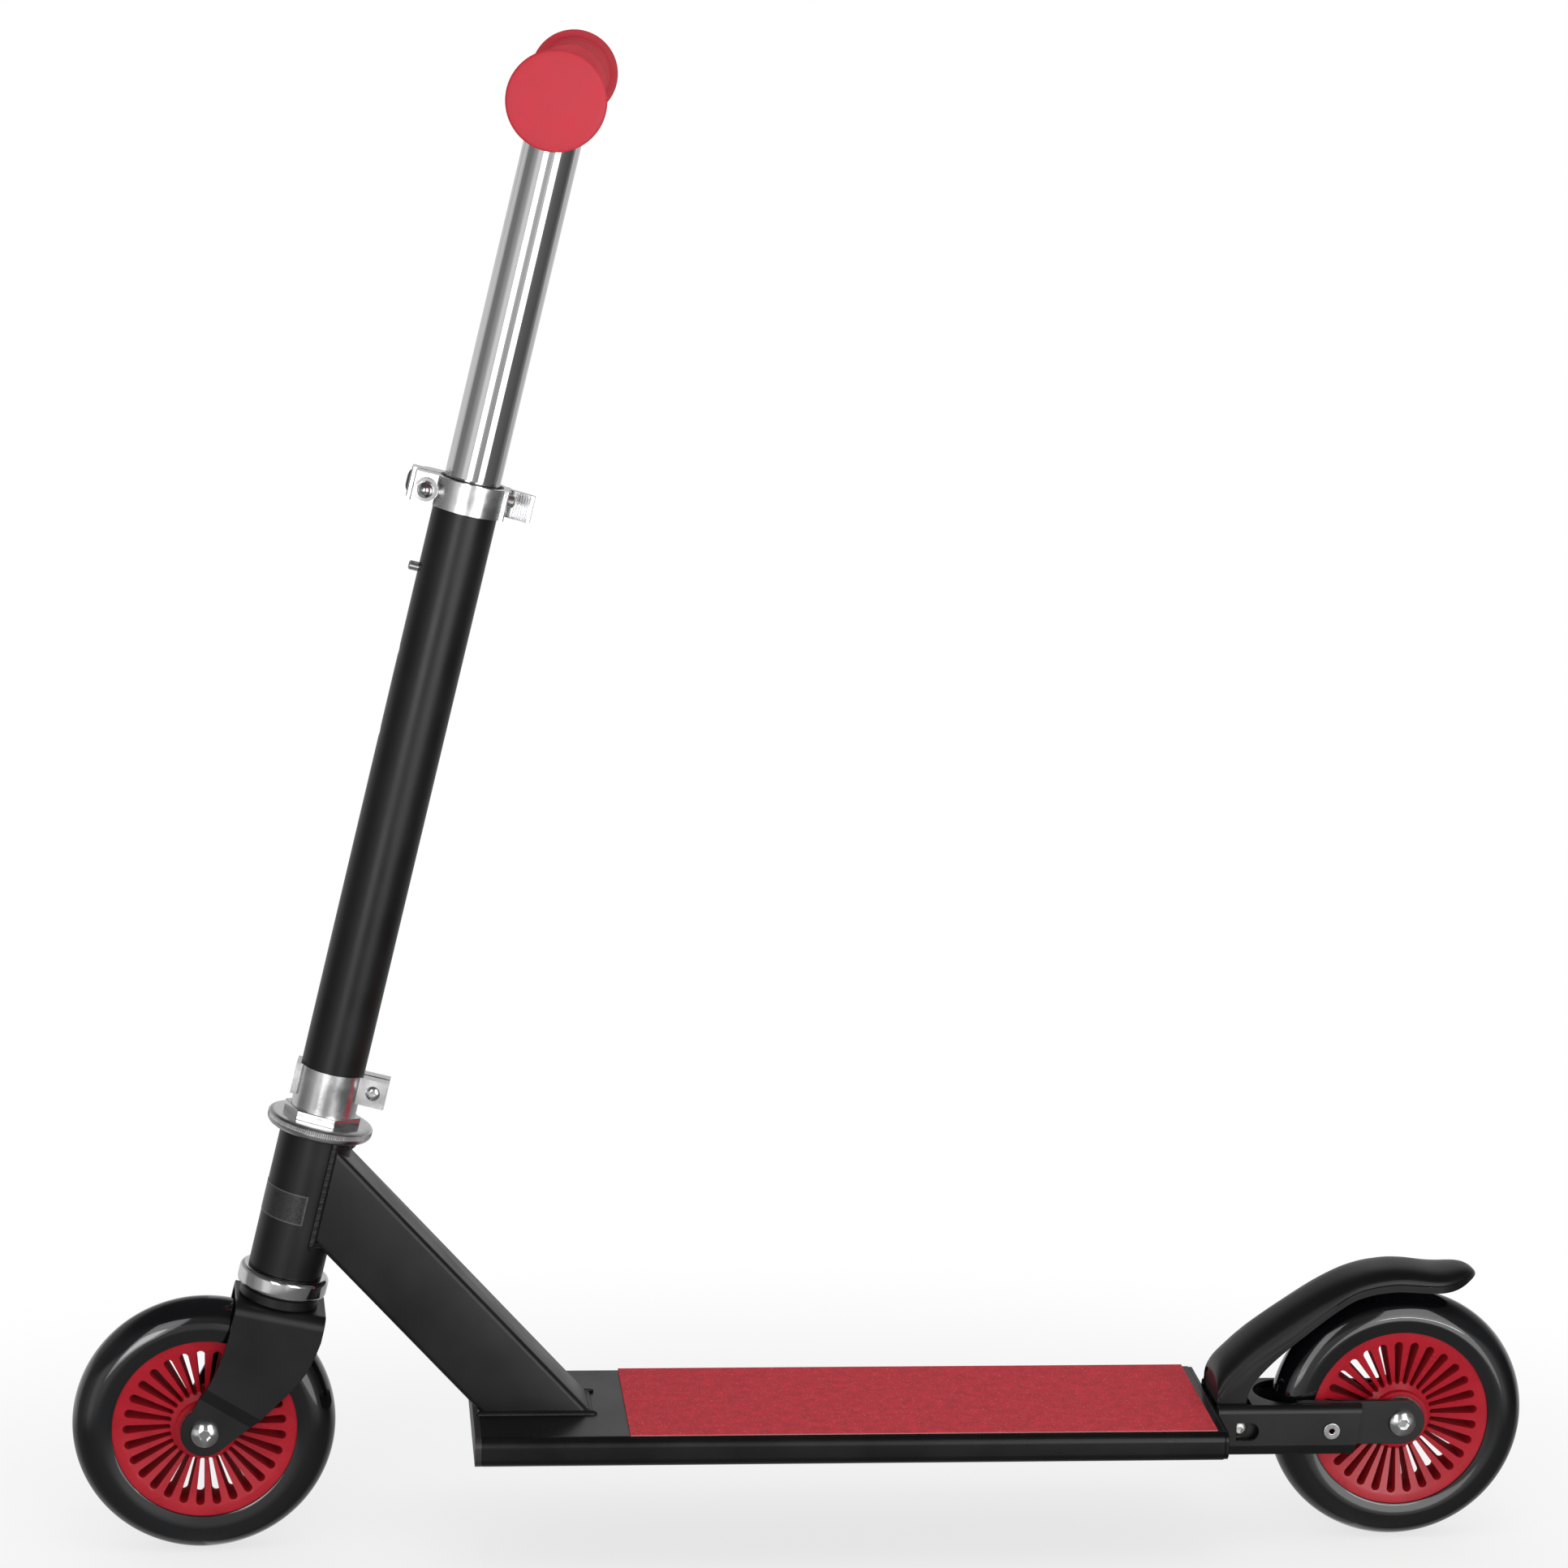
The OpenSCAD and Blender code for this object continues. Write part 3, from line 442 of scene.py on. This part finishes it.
seat(neck, head)
settle(foot)
welds = join([foot, neck])
only(welds)
bpy.ops.object.shade_smooth()
finish(welds, "weld_beads", "frame", "frame_paint", enamel, "frame_welds")


# ---------------------------------------------------------------------------
# Deck. A drawn aluminium tube, 98 mm wide and 14 mm thick with rounded
# corners, sawn square at both ends and powder-coated black.
# ---------------------------------------------------------------------------
powder = coat("black_powder_coat", (0.005, 0.0046, 0.005), 0.28, tone=0.2, spread=0.05, patch=30, grain=2200,
              relief=0.01, specular=0.32)
deck_half, deck_bottom, deck_front, deck_rear = 49, 53, -152.9, 187.98
deck = block((-170, -deck_half, deck_bottom), (205, deck_half, deck_top))
round_edges(deck, 4.4, segments=8)
cut(deck, block((-220, -60, 40), (deck_front, 60, 80)))
cut(deck, block((deck_rear, -60, 40), (260, 60, 80)))
soften(deck, 0.25, segments=2, angle=50, smooth_angle=30)
finish(deck, "coated_deck", "frame", "deck_paint", powder, "deck")


# ---------------------------------------------------------------------------
# Deck ends. A moulded grey-brown stopper pushed into the front of the tube,
# standing off by a hair, and a black end plate behind.
# ---------------------------------------------------------------------------
def deburred(node, name, body, slot, material, width=0.3, angle=30, segments=2, smooth_angle=40):
    """A merged copy of a solid with its sharp edges broken, finished to stand in for it."""
    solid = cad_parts[node]
    piece = solid.copy()
    piece.data = solid.data.copy()
    bpy.context.scene.collection.objects.link(piece)
    only(piece)
    bpy.ops.object.mode_set(mode="EDIT")
    bpy.ops.mesh.select_all(action="SELECT")
    bpy.ops.mesh.remove_doubles(threshold=0.000002)
    bpy.ops.mesh.dissolve_limited(angle_limit=math.radians(1))
    bpy.ops.object.mode_set(mode="OBJECT")
    if width:
        soften(piece, width, segments, angle, smooth_angle)
    return finish(piece, name, body, slot, material, node)


cap_plastic = coat("grey_brown_plastic", (0.028, 0.024, 0.025), 0.38, tone=0.15, patch=70, grain=1800,
                   relief=0.01)
deburred("deck_front_cap", "deck_front_stopper", "frame", "black_plastic", cap_plastic, 0.35)
deburred("deck_rear_plate", "deck_end_plate", "frame", "deck_paint", powder, 0.4)


# ---------------------------------------------------------------------------
# Grip tape. A sheet of grit set in dark red resin, cut square and glued to
# the deck; painted glints fleck a few grains, and the cut shows a thin pale edge.
# ---------------------------------------------------------------------------
grit_red = coat("red_grit", (0.55, 0.036, 0.052), 0.75, tone=0.16, spread=0.1, patch=190, grain=1100,
                relief=0.12, specular=0.2)
tree = grit_red.node_tree
place = tree.nodes["Texture Coordinate"].outputs["Object"]
# a few grit grains get a pale pink colour: a painted glint, standing in for light off the grit
grains = shader_node(tree, "TexVoronoi", {"Vector": place, "Scale": 2600}).outputs["Color"]
chance = shader_node(tree, "SeparateColor", {"Color": grains}).outputs["Red"]
painted_glint = fade(tree, chance, 0.955, 0.975)
flecked = blend(tree, painted_glint, tree.nodes["shade"].outputs["Color"], (0.62, 0.16, 0.18, 1.0))
height = shader_node(tree, "SeparateXYZ", {0: place}).outputs["Z"]
cut_edge = fade(tree, height, (deck_top + 0.55) * mm, (deck_top + 0.35) * mm)
sheet = blend(tree, cut_edge, flecked, (0.42, 0.2, 0.2, 1.0))
tree.links.new(sheet, tree.nodes["Principled BSDF"].inputs["Base Color"])
tape_half, tape_thick = 45.8, 0.8
tape = block((-85.6, -tape_half, deck_top), (184.8, tape_half, deck_top + tape_thick))
soften(tape, 0.15, segments=2)
finish(tape, "gritted_tape", "frame", "grip_tape", grit_red, "grip_tape")


# ---------------------------------------------------------------------------
# Rear bracket. A pressed steel channel welded to the deck's end, with the
# two flat dropouts riveted inside it, all in the frame's enamel.
# ---------------------------------------------------------------------------
deburred("rear_bracket", "pressed_bracket", "frame", "frame_paint", enamel, 0.5, angle=20)
for side in ("left", "right"):
    deburred("rear_dropout_" + side, "dropout_plate_" + side, "frame", "frame_paint", enamel, 0.35)
zinc = coat("zinc_plate", (0.60, 0.60, 0.59), 0.3, metallic=1.0, tone=0.12, spread=0.08, patch=140,
            grain=2500, relief=0.006)
bright_zinc = coat("bright_zinc", (0.74, 0.74, 0.74), 0.16, metallic=1.0, tone=0.05, spread=0.05, patch=160,
                   grain=2500, relief=0.003)
deburred("bracket_rivets", "dropout_rivets", "frame", "zinc_steel", bright_zinc, 0.4)
deburred("bracket_spacers", "rivet_spacers", "frame", "zinc_steel", zinc, 0.2)
deburred("fender_pivot_bolt", "fender_hinge_bolt", "frame", "zinc_steel", zinc, 0.25)


# ---------------------------------------------------------------------------
# Axle bolts. Domed socket heads, cold-headed in steel and bright zinc
# plated, each with a hexagon nut on the far end; they clamp the bearings'
# inner races between the rear dropouts and between the fork's blades.
# ---------------------------------------------------------------------------
race_steel = coat("race_steel", (0.5, 0.5, 0.5), 0.25, metallic=1.0, tone=0.08, patch=200, relief=0.003)
for end, body in (("rear", "frame"), ("front", "steering_head")):
    deburred(end + "_axle_bolt", end + "_socket_bolt", body, "zinc_steel", bright_zinc, 0.2)
    deburred(end + "_axle_nut", end + "_hexagon_nut", body, "zinc_steel", bright_zinc)
    deburred(end + "_inner_races", end + "_race_sleeves", body, "bearing_steel", race_steel, 0.2)


# ---------------------------------------------------------------------------
# Wheel bearings. Ground steel rings with pressed shields on each side of
# the hub, and the balls between them.
# ---------------------------------------------------------------------------
oiled_steel = coat("oiled_steel", (0.16, 0.155, 0.15), 0.3, metallic=1.0, tone=0.08, patch=200, relief=0.003)
for end in ("rear", "front"):
    wheel = end + "_wheel"
    deburred(end + "_bearings", end + "_shielded_bearings", wheel, "bearing_steel", oiled_steel, 0.2)
    deburred(end + "_bearing_balls", end + "_hub_balls", wheel, "bearing_steel", oiled_steel, 0)


# ---------------------------------------------------------------------------
# Wheel cores. Injection-moulded red plastic: a flat rim, twenty-nine round-
# ended slots between spokes that slope in towards the hub, and a raised
# hub ring round the bearing.
# ---------------------------------------------------------------------------
def another(piece):
    """A copy of a piece, with its own mesh."""
    only(piece)
    bpy.ops.object.duplicate()
    return bpy.context.object


def ring_of(piece, count, start=0.0):
    """Copies of a piece, evenly round the Z axis and joined; start is a share of one step."""
    copies = []
    for i in range(count):
        copy = another(piece)
        copy.matrix_world = Matrix.Rotation(2 * math.pi * (i + start) / count, 4, "Z") @ copy.matrix_world
        copies.append(copy)
    bpy.data.objects.remove(piece)
    ring = join(copies)
    settle(ring)
    return ring


def peg(sides, radius, length, centre, rotation=(0, 0, 0)):
    """A straight bar of so many sides about its middle, in mm."""
    bpy.ops.object.select_all(action="DESELECT")
    bpy.ops.mesh.primitive_cylinder_add(vertices=sides, radius=radius * mm, depth=length * mm,
                                        location=[c * mm for c in centre], rotation=rotation)
    return bpy.context.object


rear_axle = wheelbase / 2
fork_swing = 2
fork_turn = head @ turned(fork_swing, "Z")
on_axle = turned(90, "X")
wheel_seats = {
    "rear": placed(rear_axle, 0, wheel_radius) @ on_axle,
    "front": fork_turn @ placed(-fork_offset, 0, -fork_offset * math.tan(lean)) @ on_axle}
core_radius, rim_edge, hub_radius, hub_face = 42, 38.6, 13.2, 11.5
bearing_bore, bearing_seat = 7, 11
core_red = coat("red_core_plastic", (0.38, 0.007, 0.018), 0.28, tone=0.1, spread=0.05, patch=60, grain=900,
                relief=0.006, specular=0.25)
half_core = [(bearing_bore, 5), (bearing_seat, 5), (bearing_seat, hub_face), (hub_radius, hub_face),
             (hub_radius, 8), (16.5, 6.2), (37.4, 10), (rim_edge, 10.4), (core_radius, 10.6)]
core = lathe([(r, -h) for r, h in half_core] + half_core[::-1], steps=174)
# a slot is round near the rim and drawn in to half its width towards the hub
slot_count, slot_radius, slot_middle, slot_drawn = 29, 2.02, 35.25, 19
slot = peg(24, slot_radius, 40, (slot_middle, 0, 0))
for vertex in slot.data.vertices:
    if vertex.co.x < -0.1 * mm:
        vertex.co.x = -slot_drawn * mm + vertex.co.x * 0.4
        vertex.co.y *= 0.5
cut(core, ring_of(slot, slot_count, start=0.5))
soften(core, 0.28, segments=2, angle=38, smooth_angle=35)
core_walls = coat("red_slot_walls", (0.4, 0.008, 0.018), 0.8, tone=0.1, patch=60, grain=900, relief=0.01,
                  specular=0.05)
slot_faces = [face.index for face in core.data.polygons
              if abs(face.normal.z) < 0.25 and 14 < math.hypot(face.center.x, face.center.y) / mm < 38]
for end in ("rear", "front"):
    piece = another(core)
    seat(piece, wheel_seats[end])
    finish(piece, end + "_slotted_core", end + "_wheel", "core_plastic", core_red, end + "_core")
    piece.data.materials.append(core_walls)
    for index in slot_faces:
        piece.data.polygons[index].material_index = 1
bpy.data.objects.remove(core)


# ---------------------------------------------------------------------------
# Tyres. Black cast polyurethane, round in section and glossy, with a faint
# mould seam round the middle and a small step where each meets its core.
# ---------------------------------------------------------------------------
def arc(centre_r, centre_h, radius, start, stop, steps=8):
    """Corners along an arc of a profile, angles in degrees from the radial direction."""
    return [(centre_r + radius * math.cos(math.radians(start + (stop - start) * i / steps)),
             centre_h + radius * math.sin(math.radians(start + (stop - start) * i / steps)))
            for i in range(steps + 1)]


tyre_black = coat("black_polyurethane", (0.003, 0.0032, 0.0042), 0.1, tone=0.2, spread=0.03, patch=35,
                  grain=500, relief=0.012)
tyre_shader = tyre_black.node_tree.nodes["Principled BSDF"]
tyre_shader.inputs["Coat Weight"].default_value = 0.9
tyre_shader.inputs["Coat Roughness"].default_value = 0.05
tread_middle, tread_radius = 48, 11.96
seam = [(wheel_radius - 0.01, 0)]
tread = (arc(tread_middle, 0, tread_radius, -92, -1.2, steps=36) + seam
         + arc(tread_middle, 0, tread_radius, 1.2, 92, steps=36))
side = [(43, 11.75), (42.2, 11.5), (core_radius, 11)]
tyre = lathe([(r, -h) for r, h in reversed(side)] + tread + side, steps=192)
smooth(tyre, 40)
for end in ("rear", "front"):
    piece = another(tyre)
    seat(piece, wheel_seats[end])
    finish(piece, end + "_cast_tyre", end + "_wheel", "tyre", tyre_black, end + "_tyre")
bpy.data.objects.remove(tyre)


# ---------------------------------------------------------------------------
# Fork. One pressed steel bridge bent over the wheel; a slanting joggle
# brings the blades in to the axle. In the frame's enamel.
# ---------------------------------------------------------------------------
deburred("fork", "pressed_fork", "steering_head", "frame_paint", enamel, 0.7, angle=16, segments=3,
         smooth_angle=50)


# ---------------------------------------------------------------------------
# Headset. A chromed cup under the head tube over a dark crown race, and on
# top a turned disc with a milled rim under a hexagonal locknut; loose balls
# run in both and a steerer tube joins them.
# ---------------------------------------------------------------------------
chrome = coat("chrome", (0.80, 0.80, 0.81), 0.06, metallic=1.0, tone=0.02, spread=0.02, patch=30, grain=1200,
              relief=0.0015)
polished = coat("polished_aluminium", (0.76, 0.76, 0.77), 0.24, metallic=1.0, tone=0.1, spread=0.08,
                patch=110, grain=420, relief=0.02)
# the cup's mouth has a groove for the balls round a tapering lip
cup = lathe([(12.2, 65.5), (17.6, 71.5), (17.6, 65.5)] + arc(18.5, 67.5, 2, -90, 0)
            + arc(18.5, 72.5, 2, 0, 90) + [(15, 74.5), (15, 77.4), (12.3, 77.4)])
smooth(cup, 40)
seat(cup, head)
finish(cup, "lower_cup", "frame", "chrome", chrome, "lower_headset_cup")
deburred("upper_headset_cup", "upper_cup", "frame", "chrome", chrome, 0.2)
steerer_radius = 11.05
race = lathe([(steerer_radius, 60), (17.6, 60), (18.2, 60.6), (18.2, 64.4), (17.6, 65), (12.9, 65),
              (12.9, 68), (steerer_radius, 68)])
soften(race, 0.2, segments=2, angle=50)
seat(race, fork_turn)
finish(race, "crown_ring", "steering_head", "frame_paint", enamel, "crown_race")
disc = lathe([(steerer_radius, 141.6), (19.4, 141.6), (21.6, 142), (23, 142.8), (23.9, 143.9), (24.1, 144.8),
              (23.75, 145.1), (23.75, 146.9), (23.9, 147.1), (23.6, 147.6), (22.8, 148), (20, 148.1),
              (steerer_radius, 148.1)], steps=180)
smooth(disc, 38)
ridge_count = 150
ridges = ring_of(peg(6, 0.36, 1.9, (23.78, 0, 146)), ridge_count)
smooth(ridges, 70)
disc = join([disc, ridges])
seat(disc, fork_turn)
finish(disc, "knurled_disc", "steering_head", "polished_aluminium", polished, "headset_flange")
deburred("locknut", "hexagon_locknut", "steering_head", "zinc_steel", bright_zinc, 0.4, segments=3)
deburred("steerer_tube", "steerer", "steering_head", "zinc_steel", zinc, 0.2)
for level in ("lower", "upper"):
    deburred(level + "_bearing_balls", level + "_race_balls", "steering_head", "bearing_steel",
             oiled_steel, 0)


# ---------------------------------------------------------------------------
# Head-tube label. A thin dark grey film with a lighter border, wrapped
# round the front of the head tube; it carries no print.
# ---------------------------------------------------------------------------
film = coat("label_film", (0.022, 0.02, 0.021), 0.3, tone=0.35, patch=1200, grain=1500, relief=0.01)
label_low, label_high, label_end = 100.7, 114.7, 1.8
label_middle, label_half = (label_low + label_high) / 2, (label_high - label_low) / 2
tree = film.node_tree
on_axis = shader_node(tree, "Mapping", {
    "Vector": tree.nodes["Texture Coordinate"].outputs["Object"],
    "Rotation": (0, -lean, 0),
    "Location": head.inverted().translation}).outputs["Vector"]
place = shader_node(tree, "SeparateXYZ", {0: on_axis})
off_middle = maths(tree, "ABSOLUTE", maths(tree, "SUBTRACT", place.outputs["Z"], label_middle * mm))
long_borders = fade(tree, off_middle, (label_half - 0.8) * mm, (label_half - 0.5) * mm)
end_borders = fade(tree, place.outputs["X"], (label_end - 0.9) * mm, (label_end - 0.6) * mm)
border = maths(tree, "MAXIMUM", long_borders, end_borders)
bordered = blend(tree, border, tree.nodes["shade"].outputs["Color"], (0.075, 0.072, 0.074, 1.0))
tree.links.new(bordered, tree.nodes["Principled BSDF"].inputs["Base Color"])
label = sleeve(head_radius + fit, head_radius + 0.15, label_low, label_high, steps=144)
cut(label, block((label_end, -40, 90), (60, 40, 130)))
smooth(label, 30)
seat(label, head)
finish(label, "plain_label", "frame", "sticker", film, "head_tube_sticker")


# ---------------------------------------------------------------------------
# Lower clamp. A die-cast and polished aluminium sleeve with a split ear and
# a cross bolt behind and a flat pad in front; it grips the column's foot.
# ---------------------------------------------------------------------------
deburred("lower_clamp", "foot_clamp", "steering_head", "polished_aluminium", polished, 0.5, segments=3)
deburred("lower_clamp_bolt", "foot_clamp_bolt", "steering_head", "zinc_steel", bright_zinc, 0.2)


# ---------------------------------------------------------------------------
# Column. Drawn steel tube in black enamel, slit at the top under the
# collar, with three round holes in front for the height button and a thin
# plastic bush inside its mouth.
# ---------------------------------------------------------------------------
bar_swing = -4.5
bar_turn = head @ turned(bar_swing, "Z")
column_bore, column_radius, column_foot, column_top = 13.3, 14.5, 172, 446.5
button_height, hole_pitch, hole_radius = 404, 38, 2.5
column = sleeve(column_bore, column_radius, column_foot, column_top, steps=144)
for i in range(3):
    height = button_height - i * hole_pitch
    cut(column, peg(32, hole_radius, 8, (-14, 0, height), rotation=(0, math.pi / 2, 0)))
cut(column, block((8, -0.9, 410), (20, 0.9, 460)))
soften(column, 0.3, segments=2)
seat(column, bar_turn)
finish(column, "column", "steering_head", "frame_paint", enamel, "column_tube")
bush_nylon = coat("bush_nylon", (0.05, 0.05, 0.052), 0.4, tone=0.1, relief=0.006)
deburred("column_bush", "mouth_bush", "steering_head", "bush_plastic", bush_nylon, 0.2)


# ---------------------------------------------------------------------------
# Quick-release collar. Cast and polished aluminium, split at the rear,
# with ears for the skewer, its domed nut and the cam lever on the far side.
# ---------------------------------------------------------------------------
cam_black = coat("cam_plastic", (0.014, 0.014, 0.015), 0.34, tone=0.15, relief=0.008)
deburred("upper_collar", "split_collar", "steering_head", "polished_aluminium", polished, 0.5, segments=3)
deburred("collar_screw", "rear_boss_screw", "steering_head", "zinc_steel", zinc, 0.2)
deburred("skewer", "skewer_rod", "steering_head", "zinc_steel", zinc, 0.2)
deburred("domed_nut", "acorn_nut", "steering_head", "chrome", chrome, 0.25)
deburred("cam_seat", "cam_washer", "steering_head", "black_plastic", cam_black)
deburred("clamp_lever", "cam_lever", "quick_release_lever", "polished_aluminium", polished, 0.5, segments=3)
pin_back, pin_side, skewer_height = -19, 17.5, 439.7
pin = rod(1.5, -6.4, 6, steps=40)
soften(pin, 0.25, segments=2)
seat(pin, bar_turn @ placed(pin_back, pin_side, skewer_height))
finish(pin, "cam_pin", "quick_release_lever", "zinc_steel", zinc, "lever_pin")


# ---------------------------------------------------------------------------
# Handlebar. A chromed steel stem that slides in the column, with the
# crossbar brazed on top; the fillet is ground and chromed with the rest.
# ---------------------------------------------------------------------------
bar_height, bar_radius = 625, 11
stem = rod(12.6, 300, bar_height, steps=144)
bar = rod(bar_radius, -161, 161)
seat(bar, placed(0, 0, bar_height) @ turned(90, "X"))
modify(stem, "BOOLEAN", object=bar, operation="UNION", solver="EXACT")
bpy.data.objects.remove(bar)
round_edges(stem, 1.6, segments=5, angle=35)
smooth(stem, 40)
seat(stem, bar_turn)
finish(stem, "stem_and_crossbar", "handlebar", "chrome", chrome, "stem_tube", "crossbar")


# ---------------------------------------------------------------------------
# Grips. Moulded soft rubber sleeves with seven flat ribs, a ring at each
# end and a domed flange over the bar's end, in matte coral red.
# ---------------------------------------------------------------------------
def rib(radius, low, high, base, corner=0.5):
    """A rib's corners: up from the base, along the top and down again."""
    return ([(base, low)] + arc(radius - corner, low + corner, corner, -90, 0, 3)
            + arc(radius - corner, high - corner, corner, 0, 90, 3) + [(base, high)])


coral = coat("coral_rubber", (0.53, 0.022, 0.04), 0.62, tone=0.06, spread=0.06, patch=90, grain=1600,
             relief=0.02, specular=0.3)
sleeve_radius, sleeve_bore, sleeve_start, bar_end = 15.2, bar_radius + 0.05, 45, 161.2
rib_count, rib_pitch, rib_length, first_rib = 7, 13, 6.4, 50.8
profile = [(0, bar_end), (sleeve_bore, bar_end), (sleeve_bore, sleeve_start)]
profile += arc(16.3, 45.5, 0.5, -90, 0, 3) + arc(16.3, 47.9, 0.5, 0, 90, 3) + [(sleeve_radius, 48.4)]
for i in range(rib_count):
    start = first_rib + rib_pitch * i
    profile += rib(16.2, start, start + rib_length, sleeve_radius)
profile += rib(17, 149, 157, sleeve_radius, 0.7) + [(sleeve_radius, 160)]
profile += arc(19.8, 160.7, 0.7, -90, 0, 3) + arc(19.2, 162.6, 1.3, 0, 80, 5)
profile += [(17, 164.1), (12, 164.45), (6, 164.8), (0, 164.95)]
grip = lathe(profile, closed=False)
smooth(grip, 42)
for side, degrees in (("left", 90), ("right", -90)):
    piece = another(grip)
    seat(piece, bar_turn @ placed(0, 0, bar_height) @ turned(degrees, "X"))
    finish(piece, side + "_rubber_grip", "handlebar", "grip_rubber", coral, side + "_grip")
bpy.data.objects.remove(grip)


# ---------------------------------------------------------------------------
# Height button. A turned steel pin with a rounded tip on a bent leaf
# spring inside the stem; it snaps out through the column's holes. The
# spring moves with it as one piece.
# ---------------------------------------------------------------------------
deburred("snap_button", "button_pin", "height_button", "zinc_steel", bright_zinc, 0.4, segments=3)
spring = deburred("button_spring", "button_wire", "height_button", "zinc_steel", zinc, 0)
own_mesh(spring)


# ---------------------------------------------------------------------------
# Brake fender. Injection-moulded black plastic over the rear wheel, hinged
# at the bracket and held up by a wire spring; its skirt rolls over softly
# into the roof, and a dark lining sits under it.
# ---------------------------------------------------------------------------
def between(before, here, after, beyond, t):
    """The shell's measures on a smooth run through four stations, t of the way from here to after."""
    return [0.5 * (2 * q + (r - p) * t + (2 * p - 5 * q + 4 * r - s) * t * t
                   + (3 * q - p - 3 * r + s) * t ** 3)
            for p, q, r, s in zip(before, here, after, beyond)]


fender_black = coat("fender_plastic", (0.0065, 0.0062, 0.0068), 0.32, tone=0.15, spread=0.05, patch=40,
                    grain=1500, relief=0.014, specular=0.28)
fender_half, fender_wall = 17, 2.6
# from the front end to the tail: how far behind the axle, how high the ridge, half the width, how high the
# lower edge
stations = [
    (-88.6, 80, 16.6, 68.6), (-88, 83.2, 17, 68.4), (-85.4, 87.6, 17, 68.4), (-79, 94.2, 17, 68.4),
    (-75.2, 97.8, 17, 68.6), (-74, 98.8, 17, 74.4), (-71, 101.4, 17, 80.6), (-64, 106.7, 17, 88.8),
    (-55, 113.1, 17, 97.2), (-47, 118.4, 17, 103.9), (-39.6, 122.9, 17, 110), (-32, 126.7, 17, 115.6),
    (-25.2, 129.4, 17, 119.8), (-18, 131.6, 17, 122.2), (-12, 132.7, 17, 123.3), (-5, 133.4, 17, 123.9),
    (2, 133.2, 17, 123.6), (7.6, 132.5, 17, 123.2), (13, 131.8, 17, 123), (18, 131.6, 16.4, 123.2),
    (22.5, 131.9, 15, 123.9), (26.6, 132.2, 12.8, 125.2), (30, 131.9, 9.8, 126.6),
    (32.6, 130.8, 6.6, 127.6), (34.2, 129.4, 3.4, 128)]
per_station = 4
run = [stations[0]] + stations + [stations[-1]]
rows = [between(*four, k / per_station)
        for four in zip(run, run[1:], run[2:], run[3:]) for k in range(per_station)]
rows.append(stations[-1])
# round the shell from the left: share of the way up its flat skirt, then degrees round its roof
skirt = [(0, 0), (0.35, 0), (0.7, 0), (1, 0), (1, 1.5)]
roof = [(1, degrees) for degrees in (4, 7, 10, 14, 18, 23, 29, 36, 44, 52, 61, 70, 80)]
ring = skirt + roof + [(1, 90)] + [(share, 180 - degrees) for share, degrees in reversed(skirt + roof)]
roundness, crease, highest_roof, lowest_roof = 0.77, 0.5, 12.5, 0.5
bpy.ops.object.select_all(action="DESELECT")
bpy.ops.mesh.primitive_grid_add(x_subdivisions=len(rows) - 1, y_subdivisions=len(ring) - 1, size=1)
fender = bpy.context.object
for vertex in fender.data.vertices:
    back, top, half, low = rows[round((vertex.co.x + 0.5) * (len(rows) - 1))]
    share, degrees = ring[round((vertex.co.y + 0.5) * (len(ring) - 1))]
    arch = max(min(top - low - 3.2, highest_roof), min(0.6 * (top - low), 6), lowest_roof)
    angle = math.radians(degrees)
    tuck = crease * min(half / fender_half, 1) if degrees % 180 > 0.5 else 0
    width = (half - tuck) * abs(math.cos(angle)) ** roundness
    height = low + (top - low - arch) * share + arch * abs(math.sin(angle)) ** roundness
    vertex.co = ((rear_axle + back) * mm, math.copysign(width, -math.cos(angle)) * mm, height * mm)
modify(fender, "SOLIDIFY", thickness=fender_wall * mm, offset=-1, use_even_offset=False, use_rim=True)
soften(fender, 0.7, angle=55, smooth_angle=50)
# the hinge: a stepped end wall, and on each side an eye round the pivot with a lug up to the shell
pivot_x, pivot_z = rear_axle - 77.8, 57.8
wall_front, wall_back = 190.5, 193.4
pieces = [fender, block((wall_front, -14.2, 68.8), (wall_back, 14.2, 76)),
          block((wall_front, -11, 76), (wall_back, 11, 78.6))]
for low, high in ((-13.6, -10.4), (10.4, 13.6)):
    eye = sleeve(2.65, 5.6, low, high, steps=48)
    seat(eye, placed(pivot_x, 0, pivot_z) @ turned(-90, "X"))
    pieces += [eye, block((195.4, low, 62.2), (204.2, high, 83))]
fender = join(pieces)
finish(fender, "moulded_fender", "rear_brake", "black_plastic", fender_black, "brake_fender")
lining = coat("brake_lining", (0.02, 0.02, 0.021), 0.7, tone=0.2, patch=200, relief=0.05)
deburred("brake_pad", "brake_block", "rear_brake", "brake_lining", lining)
deburred("brake_spring", "return_spring", "rear_brake", "zinc_steel", zinc, 0)
